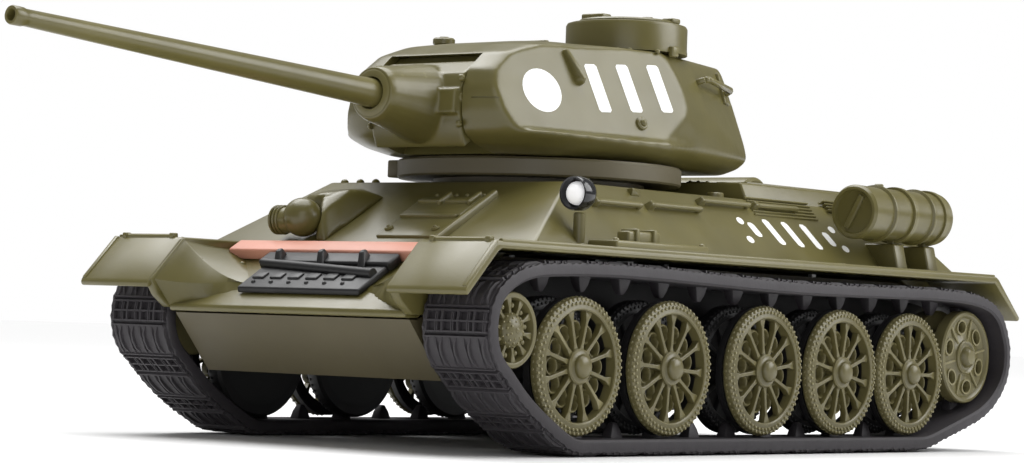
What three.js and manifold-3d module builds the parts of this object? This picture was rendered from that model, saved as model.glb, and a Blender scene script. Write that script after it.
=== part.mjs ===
// Radio controlled toy tank, 1:28, in millimetres.
// +Z is up, the bow and the gun point along -Y, the tank's left side is +X.
// Lengths along Y are counted from the axle of the third road wheel while the pieces are
// made. The finished group is then moved so that its origin is the bottom centre of its box.
import * as THREE from 'three';
import { mergeVertices } from 'three/addons/utils/BufferGeometryUtils.js';
import Module from 'manifold-3d';

const wasm = await Module();
wasm.setup();

// ---------- driving dimensions ----------
const GAP = 0.3;                 // play between neighbouring pieces
const WALL = 1.8;                // moulded wall thickness
const HALF_WIDTH = 53.57;        // centre to the outer edge of a fender
const FENDER_TOP = 42.6;
const FENDER_LOW = 40.6;
const FENDER_FRONT = -97.6;
const FENDER_REAR = 93.2;
const FLAP_FRONT = [-107.5, 31.2];
const FLAP_REAR = [104.9, 31.6];
const TUB_HALF = 32.6;           // lower hull side wall
const BELLY = 14.2;              // ground clearance
const ROOF = 56.5;
const ROOF_HALF = 33.4;
const SIDE_SLOPE = 0.81;         // sideways run of the hull side per mm of height
const GLACIS_SLOPE = 0.577;      // rise of the bow plate per mm of length
const DECK_TOP = 60.5;

const TRACK_OUTER = 53.25;
const TRACK_INNER = 35.2;
const LINKS = 32;                // tread lugs round each track

const AXLE_Z = 18.0;
const WHEEL_R = 14.15;
const WHEEL_Y = [-66.7, -35.1, 0, 30.7, 60.2];
const OUTER_DISC = [46.4, 50.6];
const INNER_DISC = [38.2, 42.2];
const SPROCKET = { y: 86.1, z: 22.4, r: 11.1 };
const IDLER = { y: -88.1, z: 24.8, r: 7.6 };
const AXLE_R = 1.6;

const RING_Y = -19.2;            // turret axis
const RING_R = 32;
const RING_Z = [58.2, 62.3];
const TURRET_FLOOR = 62.6;
const TURRET_ROOF = 88;
const SEAM_Z = 73.7;
const TRUNNION = { y: -26.8, z: 71.9 };
const MANTLET_R = 16.8;
const MANTLET_HALF = 12.6;
const MANTLET_CREST = [14.75, 40.6];   // reach from the trunnion and angle of its top edge
const BARREL_LENGTH = 131.2;     // trunnion to muzzle
const REST_ELEVATION = 3.4;      // degrees above level
const RAISE = 11.6;              // degrees the gun can rise from there
const CUPOLA = { x: 12, y: 15, r: 13.8, top: 95 };

const DRUM = { x: 46.3, z: 55.1, r: 6.3, y0: 39.2, y1: 74.2 };
const LAMP = { x: 43.6, y: -60, z: 53.4, r: 3.6, led: 2.5 };

// ---------- solids ----------
function toSolid(geometry) {
  const bare = geometry.clone();
  bare.deleteAttribute('normal');
  bare.deleteAttribute('uv');
  const merged = mergeVertices(bare, 1e-4);
  const vertProperties = new Float32Array(merged.attributes.position.array);
  const triVerts = new Uint32Array(merged.index.array);
  return new wasm.Manifold(new wasm.Mesh({ numProp: 3, vertProperties, triVerts }));
}

function flip(geometry) {
  const index = geometry.index.array;
  for (let i = 0; i < index.length; i += 3) {
    [index[i + 1], index[i + 2]] = [index[i + 2], index[i + 1]];
  }
  return geometry;
}

// A turned profile may be listed in either direction: its faces are made to point out.
function outward(geometry) {
  const solid = toSolid(geometry);
  return solid.volume() < 0 ? toSolid(flip(geometry)) : solid;
}

function toGeometry(solid) {
  const mesh = solid.getMesh();
  const geometry = new THREE.BufferGeometry();
  const corners = new Float32Array(mesh.vertProperties);
  geometry.setAttribute('position', new THREE.BufferAttribute(corners, 3));
  geometry.setIndex(new THREE.BufferAttribute(new Uint32Array(mesh.triVerts), 1));
  geometry.computeVertexNormals();
  return geometry;
}

const union = (list) => list.reduce((sum, item) => sum.add(item));
const cut = (solid, tools) => tools.reduce((rest, tool) => rest.subtract(tool), solid);

// Each basis turns a shape's own x, y and depth into the tank's axes.
const TURN = {
  x: new THREE.Matrix4().makeBasis(
    new THREE.Vector3(0, 1, 0), new THREE.Vector3(0, 0, 1), new THREE.Vector3(1, 0, 0)),
  y: new THREE.Matrix4().makeBasis(
    new THREE.Vector3(0, 0, 1), new THREE.Vector3(1, 0, 0), new THREE.Vector3(0, 1, 0)),
  z: new THREE.Matrix4(),
};

function box(x0, x1, y0, y1, z0, z1) {
  const geometry = new THREE.BoxGeometry(x1 - x0, y1 - y0, z1 - z0);
  geometry.translate((x0 + x1) / 2, (y0 + y1) / 2, (z0 + z1) / 2);
  return toSolid(geometry);
}

// An outline pulled along an axis: [y, z] points for x, [z, x] for y, [x, y] for z.
function prism(axis, points, from, to) {
  const shape = new THREE.Shape(points.map(([u, v]) => new THREE.Vector2(u, v)));
  const depth = to - from;
  const geometry = new THREE.ExtrudeGeometry(shape, { depth, bevelEnabled: false, curveSegments: 1 });
  geometry.translate(0, 0, from);
  geometry.applyMatrix4(TURN[axis]);
  return toSolid(geometry);
}

// A turned piece: [radius, station] points from axis to axis, round the line through (u, v).
function turned(axis, profile, u, v, segments = 20) {
  const points = profile.map(([r, s]) => new THREE.Vector2(r, s));
  const geometry = new THREE.LatheGeometry(points, segments);
  geometry.rotateX(Math.PI / 2);
  geometry.rotateZ(Math.PI / segments);
  geometry.translate(u, v, 0);
  geometry.applyMatrix4(TURN[axis]);
  return outward(geometry);
}

function rod(axis, r, from, to, u, v, segments = 12, r2 = r) {
  return turned(axis, [[0, from], [r, from], [r2, to], [0, to]], u, v, segments);
}

// A skin over a stack of level outlines that all have the same number of corners.
function loft(rings) {
  const count = rings[0].length;
  const positions = rings.flat(2);
  const index = [];
  for (let k = 0; k + 1 < rings.length; k += 1) {
    for (let i = 0; i < count; i += 1) {
      const a = k * count + i;
      const b = k * count + ((i + 1) % count);
      index.push(a, b, b + count, a, b + count, a + count);
    }
  }
  const last = (rings.length - 1) * count;
  const lid = rings[0].map(([x, y]) => new THREE.Vector2(x, y));
  for (const [a, b, c] of THREE.ShapeUtils.triangulateShape(lid, [])) {
    index.push(c, b, a);
  }
  const roof = rings[rings.length - 1].map(([x, y]) => new THREE.Vector2(x, y));
  for (const [a, b, c] of THREE.ShapeUtils.triangulateShape(roof, [])) {
    index.push(last + a, last + b, last + c);
  }
  const geometry = new THREE.BufferGeometry();
  geometry.setAttribute('position', new THREE.Float32BufferAttribute(positions, 3));
  geometry.setIndex(index);
  return toSolid(geometry);
}

// Everything on the far side of a plane, as a block to cut away.
function beyond(point, normal) {
  const size = 160;
  const geometry = new THREE.BoxGeometry(size, size, size);
  geometry.translate(0, 0, size / 2);
  const turn = new THREE.Quaternion().setFromUnitVectors(
    new THREE.Vector3(0, 0, 1), new THREE.Vector3(...normal).normalize());
  geometry.applyQuaternion(turn);
  geometry.translate(...point);
  return toSolid(geometry);
}

// The same solid on the other side of the tank.
function mirrored(solid) {
  const geometry = toGeometry(solid);
  geometry.scale(-1, 1, 1);
  return toSolid(flip(geometry));
}

const onSide = (side, solid) => (side > 0 ? solid : mirrored(solid));

// ---------- materials ----------
const paint = (color, roughness, metalness = 0) => (
  new THREE.MeshStandardMaterial({ color, roughness, metalness }));
const OLIVE = [0x6f6b45, 0.42];
const OLIVE_DARK = [0x5f5a3d, 0.45];
const WHEEL_OLIVE = [0x7c7446, 0.4];
const RUBBER = [0x2c2a2c, 0.75];
const BLACK = [0x1b1a1b, 0.4];
const STEEL = [0x9a9a98, 0.35, 1];
const NYLON = [0xd9d5c8, 0.5];

const tank = new THREE.Group();
tank.name = 'rc_tank';

function addPart(parent, name, solid, [color, roughness, metalness]) {
  const mesh = new THREE.Mesh(toGeometry(solid), paint(color, roughness, metalness));
  mesh.name = name;
  parent.add(mesh);
  return mesh;
}

// ---------- hull ----------
const glacisZ = (y) => 28 + (y + 101.2) * GLACIS_SLOPE;
const sideX = (z) => ROOF_HALF + (ROOF - z) * SIDE_SLOPE;

// Sloped superstructure, smaller all round by the wall thickness for its inside.
function superstructure(inset) {
  const z0 = FENDER_LOW - (inset > 0 ? 4 : 0);
  const z1 = ROOF - inset;
  const low = sideX(z0) - inset * 1.25;
  const high = sideX(z1) - inset * 1.25;
  const body = prism('y', [[z0, -low], [z0, low], [z1, high], [z1, -high]], -100, 98);
  const drop = inset * 1.15;
  const side = prism('x', [
    [-105, glacisZ(-105) - drop], [-105, 0], [98.5 - drop, 0], [98.5 - drop, 31],
    [73.8 - drop, ROOF + 3], [60, ROOF + 6], [-46, glacisZ(-46) - drop],
  ], -60, 60);
  return body.intersect(side);
}

// The nose under the bow plate. Its hollow is the same shape, set in by drop and open below.
function bowBlock(half, drop) {
  const nose = -101.2 + drop * 1.6;
  const lip = drop > 0 ? 18.6 : 26.6;
  const foot = drop > 0 ? FENDER_LOW - 14 : FENDER_LOW;
  return prism('x', [
    [nose, 28 - drop * 0.2], [nose, lip], [-97, lip], [-74, foot], [-60, foot],
    [-60, glacisZ(-60) - drop], [nose, glacisZ(nose) - drop],
  ], -half, half);
}

function fender() {
  const inner = 33.2;
  const plate = prism('x', [
    [FENDER_FRONT, FENDER_TOP - 0.5], [FLAP_FRONT[0], FLAP_FRONT[1] + 0.9],
    [FLAP_FRONT[0] + 0.9, FLAP_FRONT[1]], [FENDER_FRONT + 0.9, FENDER_LOW],
    [FENDER_REAR - 0.9, FENDER_LOW], [FLAP_REAR[0] - 0.9, FLAP_REAR[1]],
    [FLAP_REAR[0], FLAP_REAR[1] + 0.9], [FENDER_REAR, FENDER_TOP - 0.5],
  ], inner, HALF_WIDTH);
  const lip = prism('x', [
    [FENDER_FRONT, FENDER_TOP], [FENDER_FRONT, FENDER_LOW + 1], [FENDER_REAR, FENDER_LOW + 1],
    [FENDER_REAR, FENDER_TOP],
  ], HALF_WIDTH - 1, HALF_WIDTH);
  const cheek = prism('x', [
    [-72, FENDER_TOP - 0.5], [FENDER_FRONT, FENDER_TOP - 0.5], [FLAP_FRONT[0] + 0.6, FLAP_FRONT[1] + 1.6],
    [-101.2, 27.2], [-97, 27.2], [-72, FENDER_LOW],
  ], TUB_HALF + 0.15, inner + 1.6);
  const tail = prism('x', [
    [80, FENDER_TOP - 0.5], [FENDER_REAR, FENDER_TOP - 0.5], [98.6, 35], [98.6, 32], [80, FENDER_LOW],
  ], 33, inner + 1.4);
  return union([plate, lip, cheek, tail]);
}

function engineDeck() {
  const top = 31;
  const foot = 33.2;
  const body = prism('y', [
    [ROOF - 1, -foot], [ROOF - 1, foot], [DECK_TOP, top], [DECK_TOP, -top],
  ], 15.5, 76);
  const side = prism('x', [
    [15.5, 50], [15.5, DECK_TOP], [69.5, DECK_TOP], [74, ROOF + 0.6], [74, 50],
  ], -50, 50);
  const hump = rod('x', 7, -18, 18, 41, DECK_TOP - 4.2, 24);
  return body.intersect(side).add(hump.subtract(box(-20, 20, 30, 52, 40, DECK_TOP - 1)));
}

function upperHull() {
  const shell = union([
    superstructure(0), bowBlock(32.9, 0), fender(), mirrored(fender()), engineDeck(),
  ]);
  const inside = superstructure(WALL).intersect(box(-60, 60, -120, 120, FENDER_TOP - 0.5, 70))
    .add(box(-31, 31, -72, 89, 38, FENDER_TOP));
  const bowInside = bowBlock(31, 2);
  const deckInside = box(-28, 28, 20, 66, ROOF - 6, DECK_TOP - WALL);
  const ringHole = rod('z', 25.4, 40, 70, 0, RING_Y, 24);
  return cut(shell, [inside, bowInside, deckInside, ringHole]);
}

// Ball mount of the bow machine gun.
function gunBall(extra) {
  const ball = new THREE.SphereGeometry(4.6 + extra, 10, 6);
  ball.translate(-17.5, -75, glacisZ(-74) + 1.4);
  return toSolid(ball);
}

// Raised work on the bow plate and the hull sides, moulded in one with the upper hull.
function hullFittings() {
  const slab = (x0, x1, y0, y1, h) => prism('x', [
    [y0, glacisZ(y0) - 1], [y1, glacisZ(y1) - 1], [y1, glacisZ(y1) + h], [y0, glacisZ(y0) + h],
  ], x0, x1);
  const fittings = [
    slab(1, 18, -67.2, -60, 1.1),
    slab(1, 19, -73.2, -67.6, 0.7),
    slab(18.4, 20.2, -75, -58, 1.5),
  ];
  const hood = rod('y', 6.0, -75, -59, glacisZ(-74) + 0.8, -17.5, 14);
  fittings.push(hood, gunBall(0));
  for (const side of [-1, 1]) {
    const x = side * 28;
    fittings.push(box(x - 1.3, x + 1.3, -97.6, -92.6, glacisZ(-92.6) - 3, glacisZ(-92.6) + 2));
    const wedges = [];
    for (const y of [54.5, 68.4]) {
      wedges.push(prism('y', [[42, 43], [42, 49.5], [48.4, 48], [48.4, 38.6]], y, y + 4.6));
    }
    wedges.push(box(47.6, 50.8, -52.6, -41.3, FENDER_LOW + 1, 46.2));
    fittings.push(...wedges.map((piece) => onSide(side, piece)));
  }
  fittings.push(rod('z', 1.2, 41, LAMP.z - LAMP.r - GAP - 0.1, LAMP.x, LAMP.y, 8));
  return union(fittings);
}

const SCREWS = [[24, -58], [-24, -58], [22, 60], [-22, 60]];

function upperHullBosses() {
  return SCREWS.map(([x, y]) => rod('z', 3, 38.4, y < 0 ? 51.5 : 59.5, x, y, 8));
}

const screwBores = () => SCREWS.map(([x, y]) => rod('z', 1.4, 30, 46, x, y, 6));

const MOTOR = { y: SPROCKET.y - 8.4, z: SPROCKET.z + 2.26, r: 6 };
const BATTERY_Y = [-50, 10];

function lowerTub() {
  const outline = [
    [-99.4, 26.2], [-89, BELLY], [90, BELLY], [96.5, 20.5], [97.2, 30], [93, 39.9], [-74, 39.9],
    [-96.9, 26.2],
  ];
  const hollow = [
    [-95.6, 25.2], [-88, BELLY + WALL], [89.6, BELLY + WALL], [94.6, 21.2], [95.3, 30], [91.2, 45],
    [-68, 45], [-94.5, 28.2],
  ];
  const wall = TUB_HALF - WALL;
  const added = [];
  const holes = [];
  for (const side of [-1, 1]) {
    for (const [y, z] of [...WHEEL_Y.map((y) => [y, AXLE_Z]), [IDLER.y, IDLER.z]]) {
      added.push(onSide(side, rod('x', 3.4, 31, 37.8, y, z, 8)));
      added.push(onSide(side, rod('x', AXLE_R, 37, 47.6, y, z, 8)));
    }
    holes.push(onSide(side, rod('x', 2.1, 29, 36, SPROCKET.y, SPROCKET.z, 10)));
    added.push(onSide(side, box(28.5, 31.5, -46, 5, 33, 35)));
    added.push(onSide(side, box(4, 20, 74, 81, BELLY + 1, MOTOR.z - MOTOR.r - GAP)));
  }
  for (const [x, y] of SCREWS) {
    added.push(rod('z', 3.6, BELLY + 0.5, 38, x, y, 8));
    holes.push(rod('z', 1.5, 10, 45, x, y, 6));
    holes.push(rod('z', 2.7, 10, BELLY + 1.7, x, y, 8));
  }
  added.push(box(-5, 5, 12.5, 16, BELLY + 1, 35.7));
  const [y0, y1] = BATTERY_Y;
  const ledge = box(-18, 18, y0 - 2, y1 + 2, BELLY + WALL - 0.1, BELLY + WALL + 1.4)
    .subtract(box(-14.5, 14.5, y0 + 1.5, y1 - 1.5, 10, 30));
  const doorway = box(-16.3, 16.3, y0 - GAP, y1 + GAP, 10, BELLY + WALL - 0.1);
  const port = box(-14.5, 14.5, y0 + 1.5, y1 - 1.5, 10, 30);
  const switchSlot = box(20, 24, 24.6, 34, 10, BELLY + WALL + 1);
  const shell = prism('x', outline, -TUB_HALF, TUB_HALF).subtract(prism('x', hollow, -wall, wall));
  return cut(union([shell, ledge, ...added]), [...holes, doorway, port, switchSlot]);
}

function bowStrip() {
  const low = 0.3;
  const high = 1.0;
  const y0 = -79.4;
  const y1 = -75.4;
  const strip = prism('x', [
    [y0, glacisZ(y0) + low * 1.155], [y1, glacisZ(y1) + low * 1.155],
    [y1, glacisZ(y1) + high * 1.155], [y0, glacisZ(y0) + high * 1.155],
  ], -31.2, 31.2);
  return strip.subtract(gunBall(GAP));
}

// A length of spare track laid on the bow plate, with three guide horns.
function spareLinks() {
  const at = (y, h) => [y, glacisZ(y) + h * 1.155];
  const pads = prism('x', [at(-97, 0.3), at(-81.2, 0.3), at(-81.2, 2.2), at(-89, 2.2), at(-97, 1.6)], -17, 17);
  const band = prism('x', [at(-85.2, 1), at(-80, 0.4), at(-80, 3.6), at(-85.2, 3.6)], -19, 17.6);
  const horn = [at(-86, 2), at(-81, 3), at(-82.5, 5.6), at(-85, 5)];
  const horns = [-13, -1.5, 10].map((x) => prism('x', horn, x, x + 1.6));
  return union([pads, band, ...horns]);
}

function lampHousing() {
  return turned('y', [
    [0, LAMP.y + 2.2], [2.6, LAMP.y + 1.8], [LAMP.r, LAMP.y + 0.6], [LAMP.r, LAMP.y - 2.6],
    [LAMP.led + GAP, LAMP.y - 2.6], [LAMP.led + GAP, LAMP.y - 0.2], [0, LAMP.y - 0.2],
  ], LAMP.z, LAMP.x, 16);
}

function lampLed() {
  return turned('y', [
    [0, LAMP.y - 3.1], [1.5, LAMP.y - 2.8], [LAMP.led, LAMP.y - 1.8], [LAMP.led, LAMP.y - 0.5],
    [0, LAMP.y - 0.5],
  ], LAMP.z, LAMP.x, 12);
}

function fuelDrum() {
  const { r, y0, y1 } = DRUM;
  return turned('y', [
    [0, y0 + 0.6], [r - 1.2, y0 + 0.6], [r - 0.9, y0], [r, y0 + 0.7], [r, y1 - 0.7], [r - 0.9, y1],
    [r - 1.2, y1 - 0.6], [0, y1 - 0.6],
  ], DRUM.z, DRUM.x, 18);
}

// ---------- gears ----------
function gearOutline(teeth, root, tip, phase = 0) {
  const points = [];
  const step = (2 * Math.PI) / teeth;
  for (let i = 0; i < teeth; i += 1) {
    for (const [share, r] of [[-0.26, root], [-0.07, tip], [0.07, tip], [0.26, root]]) {
      const a = phase + (i + share) * step;
      points.push([r * Math.cos(a), r * Math.sin(a)]);
    }
  }
  return points;
}

const GEAR = { teeth: 12, pitch: 5.1 };
const PINION = { teeth: 8, pitch: 3.4 };
const TOOTH = { root: 0.95, tip: 0.6 };   // below and above the pitch radius
const GEAR_X = [25.2, 28.2];

// Phases turn a tooth of the gear, and a gap of the pinion, on to the line between the axles.
const MESH_ANGLE = Math.atan2(MOTOR.z - SPROCKET.z, MOTOR.y - SPROCKET.y);

function driveGear() {
  const { teeth, pitch } = GEAR;
  const outline = gearOutline(teeth, pitch - TOOTH.root, pitch + TOOTH.tip, MESH_ANGLE);
  return prism('x', outline, ...GEAR_X).add(rod('x', 1.5, GEAR_X[0], 48.4, 0, 0, 10));
}

function motorPinion() {
  const phase = MESH_ANGLE + Math.PI + Math.PI / PINION.teeth;
  const { teeth, pitch } = PINION;
  const outline = gearOutline(teeth, pitch - TOOTH.root, pitch + TOOTH.tip, phase);
  return prism('x', outline, ...GEAR_X).add(rod('x', 0.9, 22.5, GEAR_X[0] + 0.5, 0, 0, 8));
}

function driveMotor() {
  const can = rod('x', MOTOR.r, 1, 24.7, 0, 0, 14);
  return can.subtract(rod('x', 1.2, 22.2, 26, 0, 0, 8));
}

// ---------- wheels, made on the axle line at y = z = 0 for the left side ----------
function outerWheel() {
  const [a, b] = OUTER_DISC;
  return turned('x', [
    [0, a + 2], [AXLE_R + GAP, a + 2], [AXLE_R + GAP, 42.7], [3.4, 42.7], [3.4, a], [WHEEL_R, a],
    [WHEEL_R, b - 0.2], [11.8, b], [11.4, a + 2], [4.6, a + 2.4], [3.2, b + 1], [0, b + 1.6],
  ], 0, 0, 18);
}

function innerWheel() {
  const [a, b] = INNER_DISC;
  return turned('x', [
    [AXLE_R + GAP, a], [AXLE_R + GAP, b], [11.2, b - 1.2], [11.6, b], [WHEEL_R, b], [WHEEL_R, a],
    [AXLE_R + GAP, a],
  ], 0, 0, 16);
}

function idler() {
  const { r } = IDLER;
  return turned('x', [
    [0, 48.4], [AXLE_R + GAP, 48.4], [AXLE_R + GAP, 38.2], [r, 38.2], [r, 42.2], [3.3, 42.2], [3.3, 46.4],
    [r, 46.4], [r, 50], [r - 1.6, 50], [r - 1.9, 48.4], [3.2, 48.8], [2.6, 50.6], [0, 51.2],
  ], 0, 0, 16);
}

function sprocket() {
  const { r } = SPROCKET;
  const wheel = turned('x', [
    [0, 48.8], [1.8, 48.8], [1.8, 38.2], [r, 38.2], [r, 42.2], [3.8, 42.2], [3.8, 46.4], [r, 46.4],
    [r, 50], [4.2, 49.4], [3.2, 51], [0, 51.6],
  ], 0, 0, 18);
  const holes = [];
  const pegs = [];
  for (let i = 0; i < 6; i += 1) {
    const a = (i * Math.PI) / 3;
    const b = a + Math.PI / 6;
    holes.push(rod('x', 1.75, 45, 52, 7.4 * Math.cos(a), 7.4 * Math.sin(a), 6));
    pegs.push(rod('x', 1.2, 42, 46.6, 6.3 * Math.cos(b), 6.3 * Math.sin(b), 4));
  }
  return cut(union([wheel, ...pegs]), holes);
}

// ---------- tracks ----------
// Ground line of the belt, going round from the front of the flat run over the bow and back.
const BELT_LINE = [
  [-68, 0], [-72, 0.6], [-80.8, 5.0], [-87.6, 9.3], [-93.2, 14.1], [-96.9, 17.4], [-98.8, 20.7],
  [-99.6, 24.5], [-99.4, 27.8], [-98.5, 30.6], [-96.8, 33.2], [-93.7, 35.6], [-90.4, 37.2], [-86.6, 38.3],
  [-81.8, 38.9], [-63.4, 39.6], [-43.4, 39.5], [-26.9, 39.1], [7.6, 38.4], [43.2, 38.6], [68.6, 38.8],
  [85.3, 38.1], [93.6, 36.3], [98.2, 33.4], [101.1, 29.2], [102.7, 24.9], [102.3, 18.8], [100, 14.5],
  [95.4, 10.2], [89.3, 7.0], [80.6, 4.4], [73.4, 2.4], [67, 0.7], [62, 0],
];
const BELT = { body: 2.2, lug: 1.1 };

function beltCurve() {
  const corners = BELT_LINE.map(([y, z]) => new THREE.Vector3(0, y, z));
  const ground = [new THREE.Vector3(0, 30, 0), new THREE.Vector3(0, -30, 0)];
  return new THREE.CatmullRomCurve3([...corners, ...ground], true, 'centripetal');
}

function trackBelt() {
  const curve = beltCurve();
  const length = curve.getLength();
  const place = (s, depth) => {
    const t = (((s % length) + length) % length) / length;
    const p = curve.getPointAt(t);
    const d = curve.getTangentAt(t);
    return [p.y + d.z * depth, Math.max(p.z, 0) - d.y * depth];
  };
  const pitch = length / LINKS;
  const outer = [];
  const inner = [];
  for (let i = 0; i < LINKS; i += 1) {
    for (const [share, depth] of [[0, 0], [0.4, 0], [0.8, 0], [0.84, BELT.lug], [0.96, BELT.lug]]) {
      outer.push(place((i + share) * pitch, depth));
      inner.push(place((i + share) * pitch, BELT.body + BELT.lug));
    }
  }
  return hoop(outer, inner, TRACK_INNER, TRACK_OUTER);
}

// A closed band between two loops of [y, z] points that run side by side, from x0 to x1.
function hoop(outer, inner, x0, x1) {
  const positions = [];
  for (const [loop, x] of [[outer, x0], [outer, x1], [inner, x1], [inner, x0]]) {
    for (const [y, z] of loop) {
      positions.push(x, y, z);
    }
  }
  const n = outer.length;
  const index = [];
  for (let side = 0; side < 4; side += 1) {
    for (let i = 0; i < n; i += 1) {
      const a = side * n + i;
      const b = side * n + ((i + 1) % n);
      const c = ((side + 1) % 4) * n + ((i + 1) % n);
      const d = ((side + 1) % 4) * n + i;
      index.push(a, b, c, a, c, d);
    }
  }
  const geometry = new THREE.BufferGeometry();
  geometry.setAttribute('position', new THREE.Float32BufferAttribute(positions, 3));
  geometry.setIndex(index);
  return outward(geometry);
}

// ---------- turret, in its own frame with the ring's axis at x = y = 0 ----------
// Each level: height, front, half width of the flat front, cheek radius, widest half width,
// half width at the rear, rear.
const TURRET_LEVELS = [
  [TURRET_FLOOR, -33, 9, 14, 27.5, 19, 45.5],
  [64.2, -38.5, 11, 16, 31, 22, 48],
  [66.0, -41.5, 12.5, 17, 32.8, 23.5, 49.2],
  [67.0, -42.2, 13, 17.2, 33, 23.6, 49.4],
  [71, -43.1, 13, 18, 33.5, 23, 49.4],
  [76, -43, 13, 17, 33, 21.5, 49.2],
  [80, -41.3, 13, 15.5, 31.5, 19.8, 49],
  [84, -36.6, 12, 13, 29.5, 18, 48.6],
  [86.6, -30, 10, 11.5, 28, 16.5, 48.3],
  [TURRET_ROOF, -21.5, 8, 9.5, 26.5, 15.4, 48],
];
const WIDEST_Y = 5;
// Flat faces cut into the casting: a point on each, and the way it faces.
const SIDE_FACES = [
  [[32, 5.2, 67.7], [1, -0.184, 0.364]],
  [[26, 15.2, 88], [1, 0.333, 0.4]],
  [[31, 14.2, 75.5], [1, 0.12, -0.06]],
];

function turretOutline([z, front, flat, cheek, widest, rearHalf, rear]) {
  const half = [];
  for (let i = 0; i <= 6; i += 1) {
    const a = -Math.PI / 2 + (i * Math.PI) / 12;
    half.push([flat + cheek * Math.cos(a), front + cheek + cheek * Math.sin(a)]);
  }
  half.push([widest, WIDEST_Y], [rearHalf, rear - 1.6], [rearHalf - 1.6, rear]);
  const other = half.map(([x, y]) => [-x, y]).reverse();
  return [...half, ...other].map(([x, y]) => [x, y, z]);
}

function turretCasting(inset) {
  const shrink = (value, middle, reach) => middle + (value - middle) * (1 - inset / reach);
  const rings = TURRET_LEVELS.map((level) => turretOutline(level).map(([x, y, z]) => [
    shrink(x, 0, 30), shrink(y, 3, 43), shrink(z, 75.3, 12.7),
  ]));
  let body = loft(rings);
  const above = box(-60, 60, -80, 80, 67.3, 100);
  for (const [point, normal] of SIDE_FACES) {
    const inward = new THREE.Vector3(...normal).normalize().multiplyScalar(-inset);
    const corner = [point[0] + inward.x, point[1] + inward.y, point[2] + inward.z];
    const tool = beyond(corner, normal).intersect(above);
    body = cut(body, [tool, mirrored(tool)]);
  }
  return body;
}

// Points round the trunnion, from one angle above level to another, towards the muzzle.
function arc(r, from, to, steps) {
  const points = [];
  for (let i = 0; i <= steps; i += 1) {
    const a = THREE.MathUtils.degToRad(from + ((to - from) * i) / Math.max(steps, 1));
    points.push([-r * Math.cos(a), r * Math.sin(a)]);
  }
  return points;
}

function parting(lift) {
  return prism('x', [
    [-70, 40], [70, 40], [70, 65.6 + lift], [-32.3 + lift, 65.6 + lift], [-40.3 + lift, SEAM_Z - 0.15 + lift],
    [-70, SEAM_Z - 0.15 + lift],
  ], -70, 70);
}

// The room that the mantlet sweeps through as the gun rises, and the open front before it.
function mantletOpening() {
  const half = MANTLET_HALF + GAP;
  const highest = REST_ELEVATION + RAISE + 0.6;
  const crestAngle = MANTLET_CREST[1] + highest;
  const swept = [
    ...arc(MANTLET_R + GAP, -62, 22 + highest, 12),
    ...arc(MANTLET_CREST[0] + GAP, crestAngle, crestAngle, 0),
    [0, 0],
  ].map(([y, z]) => [y + TRUNNION.y, z + TRUNNION.z]);
  const front = box(-half, half, -70, TRUNNION.y - 12.4, 50, 81.4);
  return prism('x', swept, -half, half).add(front);
}

function turretShells() {
  const hollow = turretCasting(WALL);
  const skin = cut(turretCasting(0), [hollow, mantletOpening(), rod('z', 20, 50, 66, 0, 0, 24)]);
  const lower = skin.intersect(parting(0));
  const upper = skin.subtract(parting(GAP));
  const brackets = [];
  for (const side of [-1, 1]) {
    const plate = box(13.3, 15.6, TRUNNION.y - 3, TRUNNION.y + 3, TURRET_FLOOR + 1, TRUNNION.z + 3);
    brackets.push(onSide(side, plate.subtract(rod('x', 1.8, 12, 17, TRUNNION.y, TRUNNION.z, 10))));
  }
  return { upper, lower: union([lower, ...brackets]) };
}

function turretRing() {
  const disc = turned('z', [
    [20, RING_Z[0]], [RING_R, RING_Z[0]], [RING_R, RING_Z[1]], [20, RING_Z[1]], [20, RING_Z[0]],
  ], 0, 0, 30);
  const neck = turned('z', [
    [20, 50.3], [23.7, 50.3], [23.7, RING_Z[0] + 0.5], [20, RING_Z[0] + 0.5], [20, 50.3],
  ], 0, 0, 30);
  const teeth = prism('z', gearOutline(36, 23.4, 24.9, Math.PI / 2), 50.5, 53.7)
    .subtract(rod('z', 21, 40, 60, 0, 0, 12));
  const lug = box(-26.2, -22.6, -22, -18.6, RING_Z[0], RING_Z[1]);
  return union([disc, neck, teeth, lug]);
}

const TURRET_PINION_Y = 30;      // from the ring's axis

function turretPinion() {
  const phase = -Math.PI / 2 + Math.PI / 8;
  const wheel = prism('z', gearOutline(8, 4.5, 5.8, phase), 50.5, 53.7);
  return wheel.add(rod('z', 0.9, 47, 51, 0, 0, 8));
}

function cupola() {
  return turned('z', [
    [10.2, TURRET_ROOF + GAP], [CUPOLA.r, TURRET_ROOF + GAP], [CUPOLA.r, CUPOLA.top - 0.6],
    [CUPOLA.r - 0.7, CUPOLA.top], [10.2, CUPOLA.top], [10.2, TURRET_ROOF + GAP],
  ], 0, 0, 30);
}

function cupolaHatch() {
  const lid = rod('z', 11, CUPOLA.top + GAP, CUPOLA.top + 1.3, 0, 0, 24);
  const plug = rod('z', 9.8, CUPOLA.top - 1.5, CUPOLA.top + GAP + 0.1, 0, 0, 24);
  return union([lid, plug, box(-8.6, -2.4, -6, -2.6, CUPOLA.top + 1, CUPOLA.top + 2.3)]);
}

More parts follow.
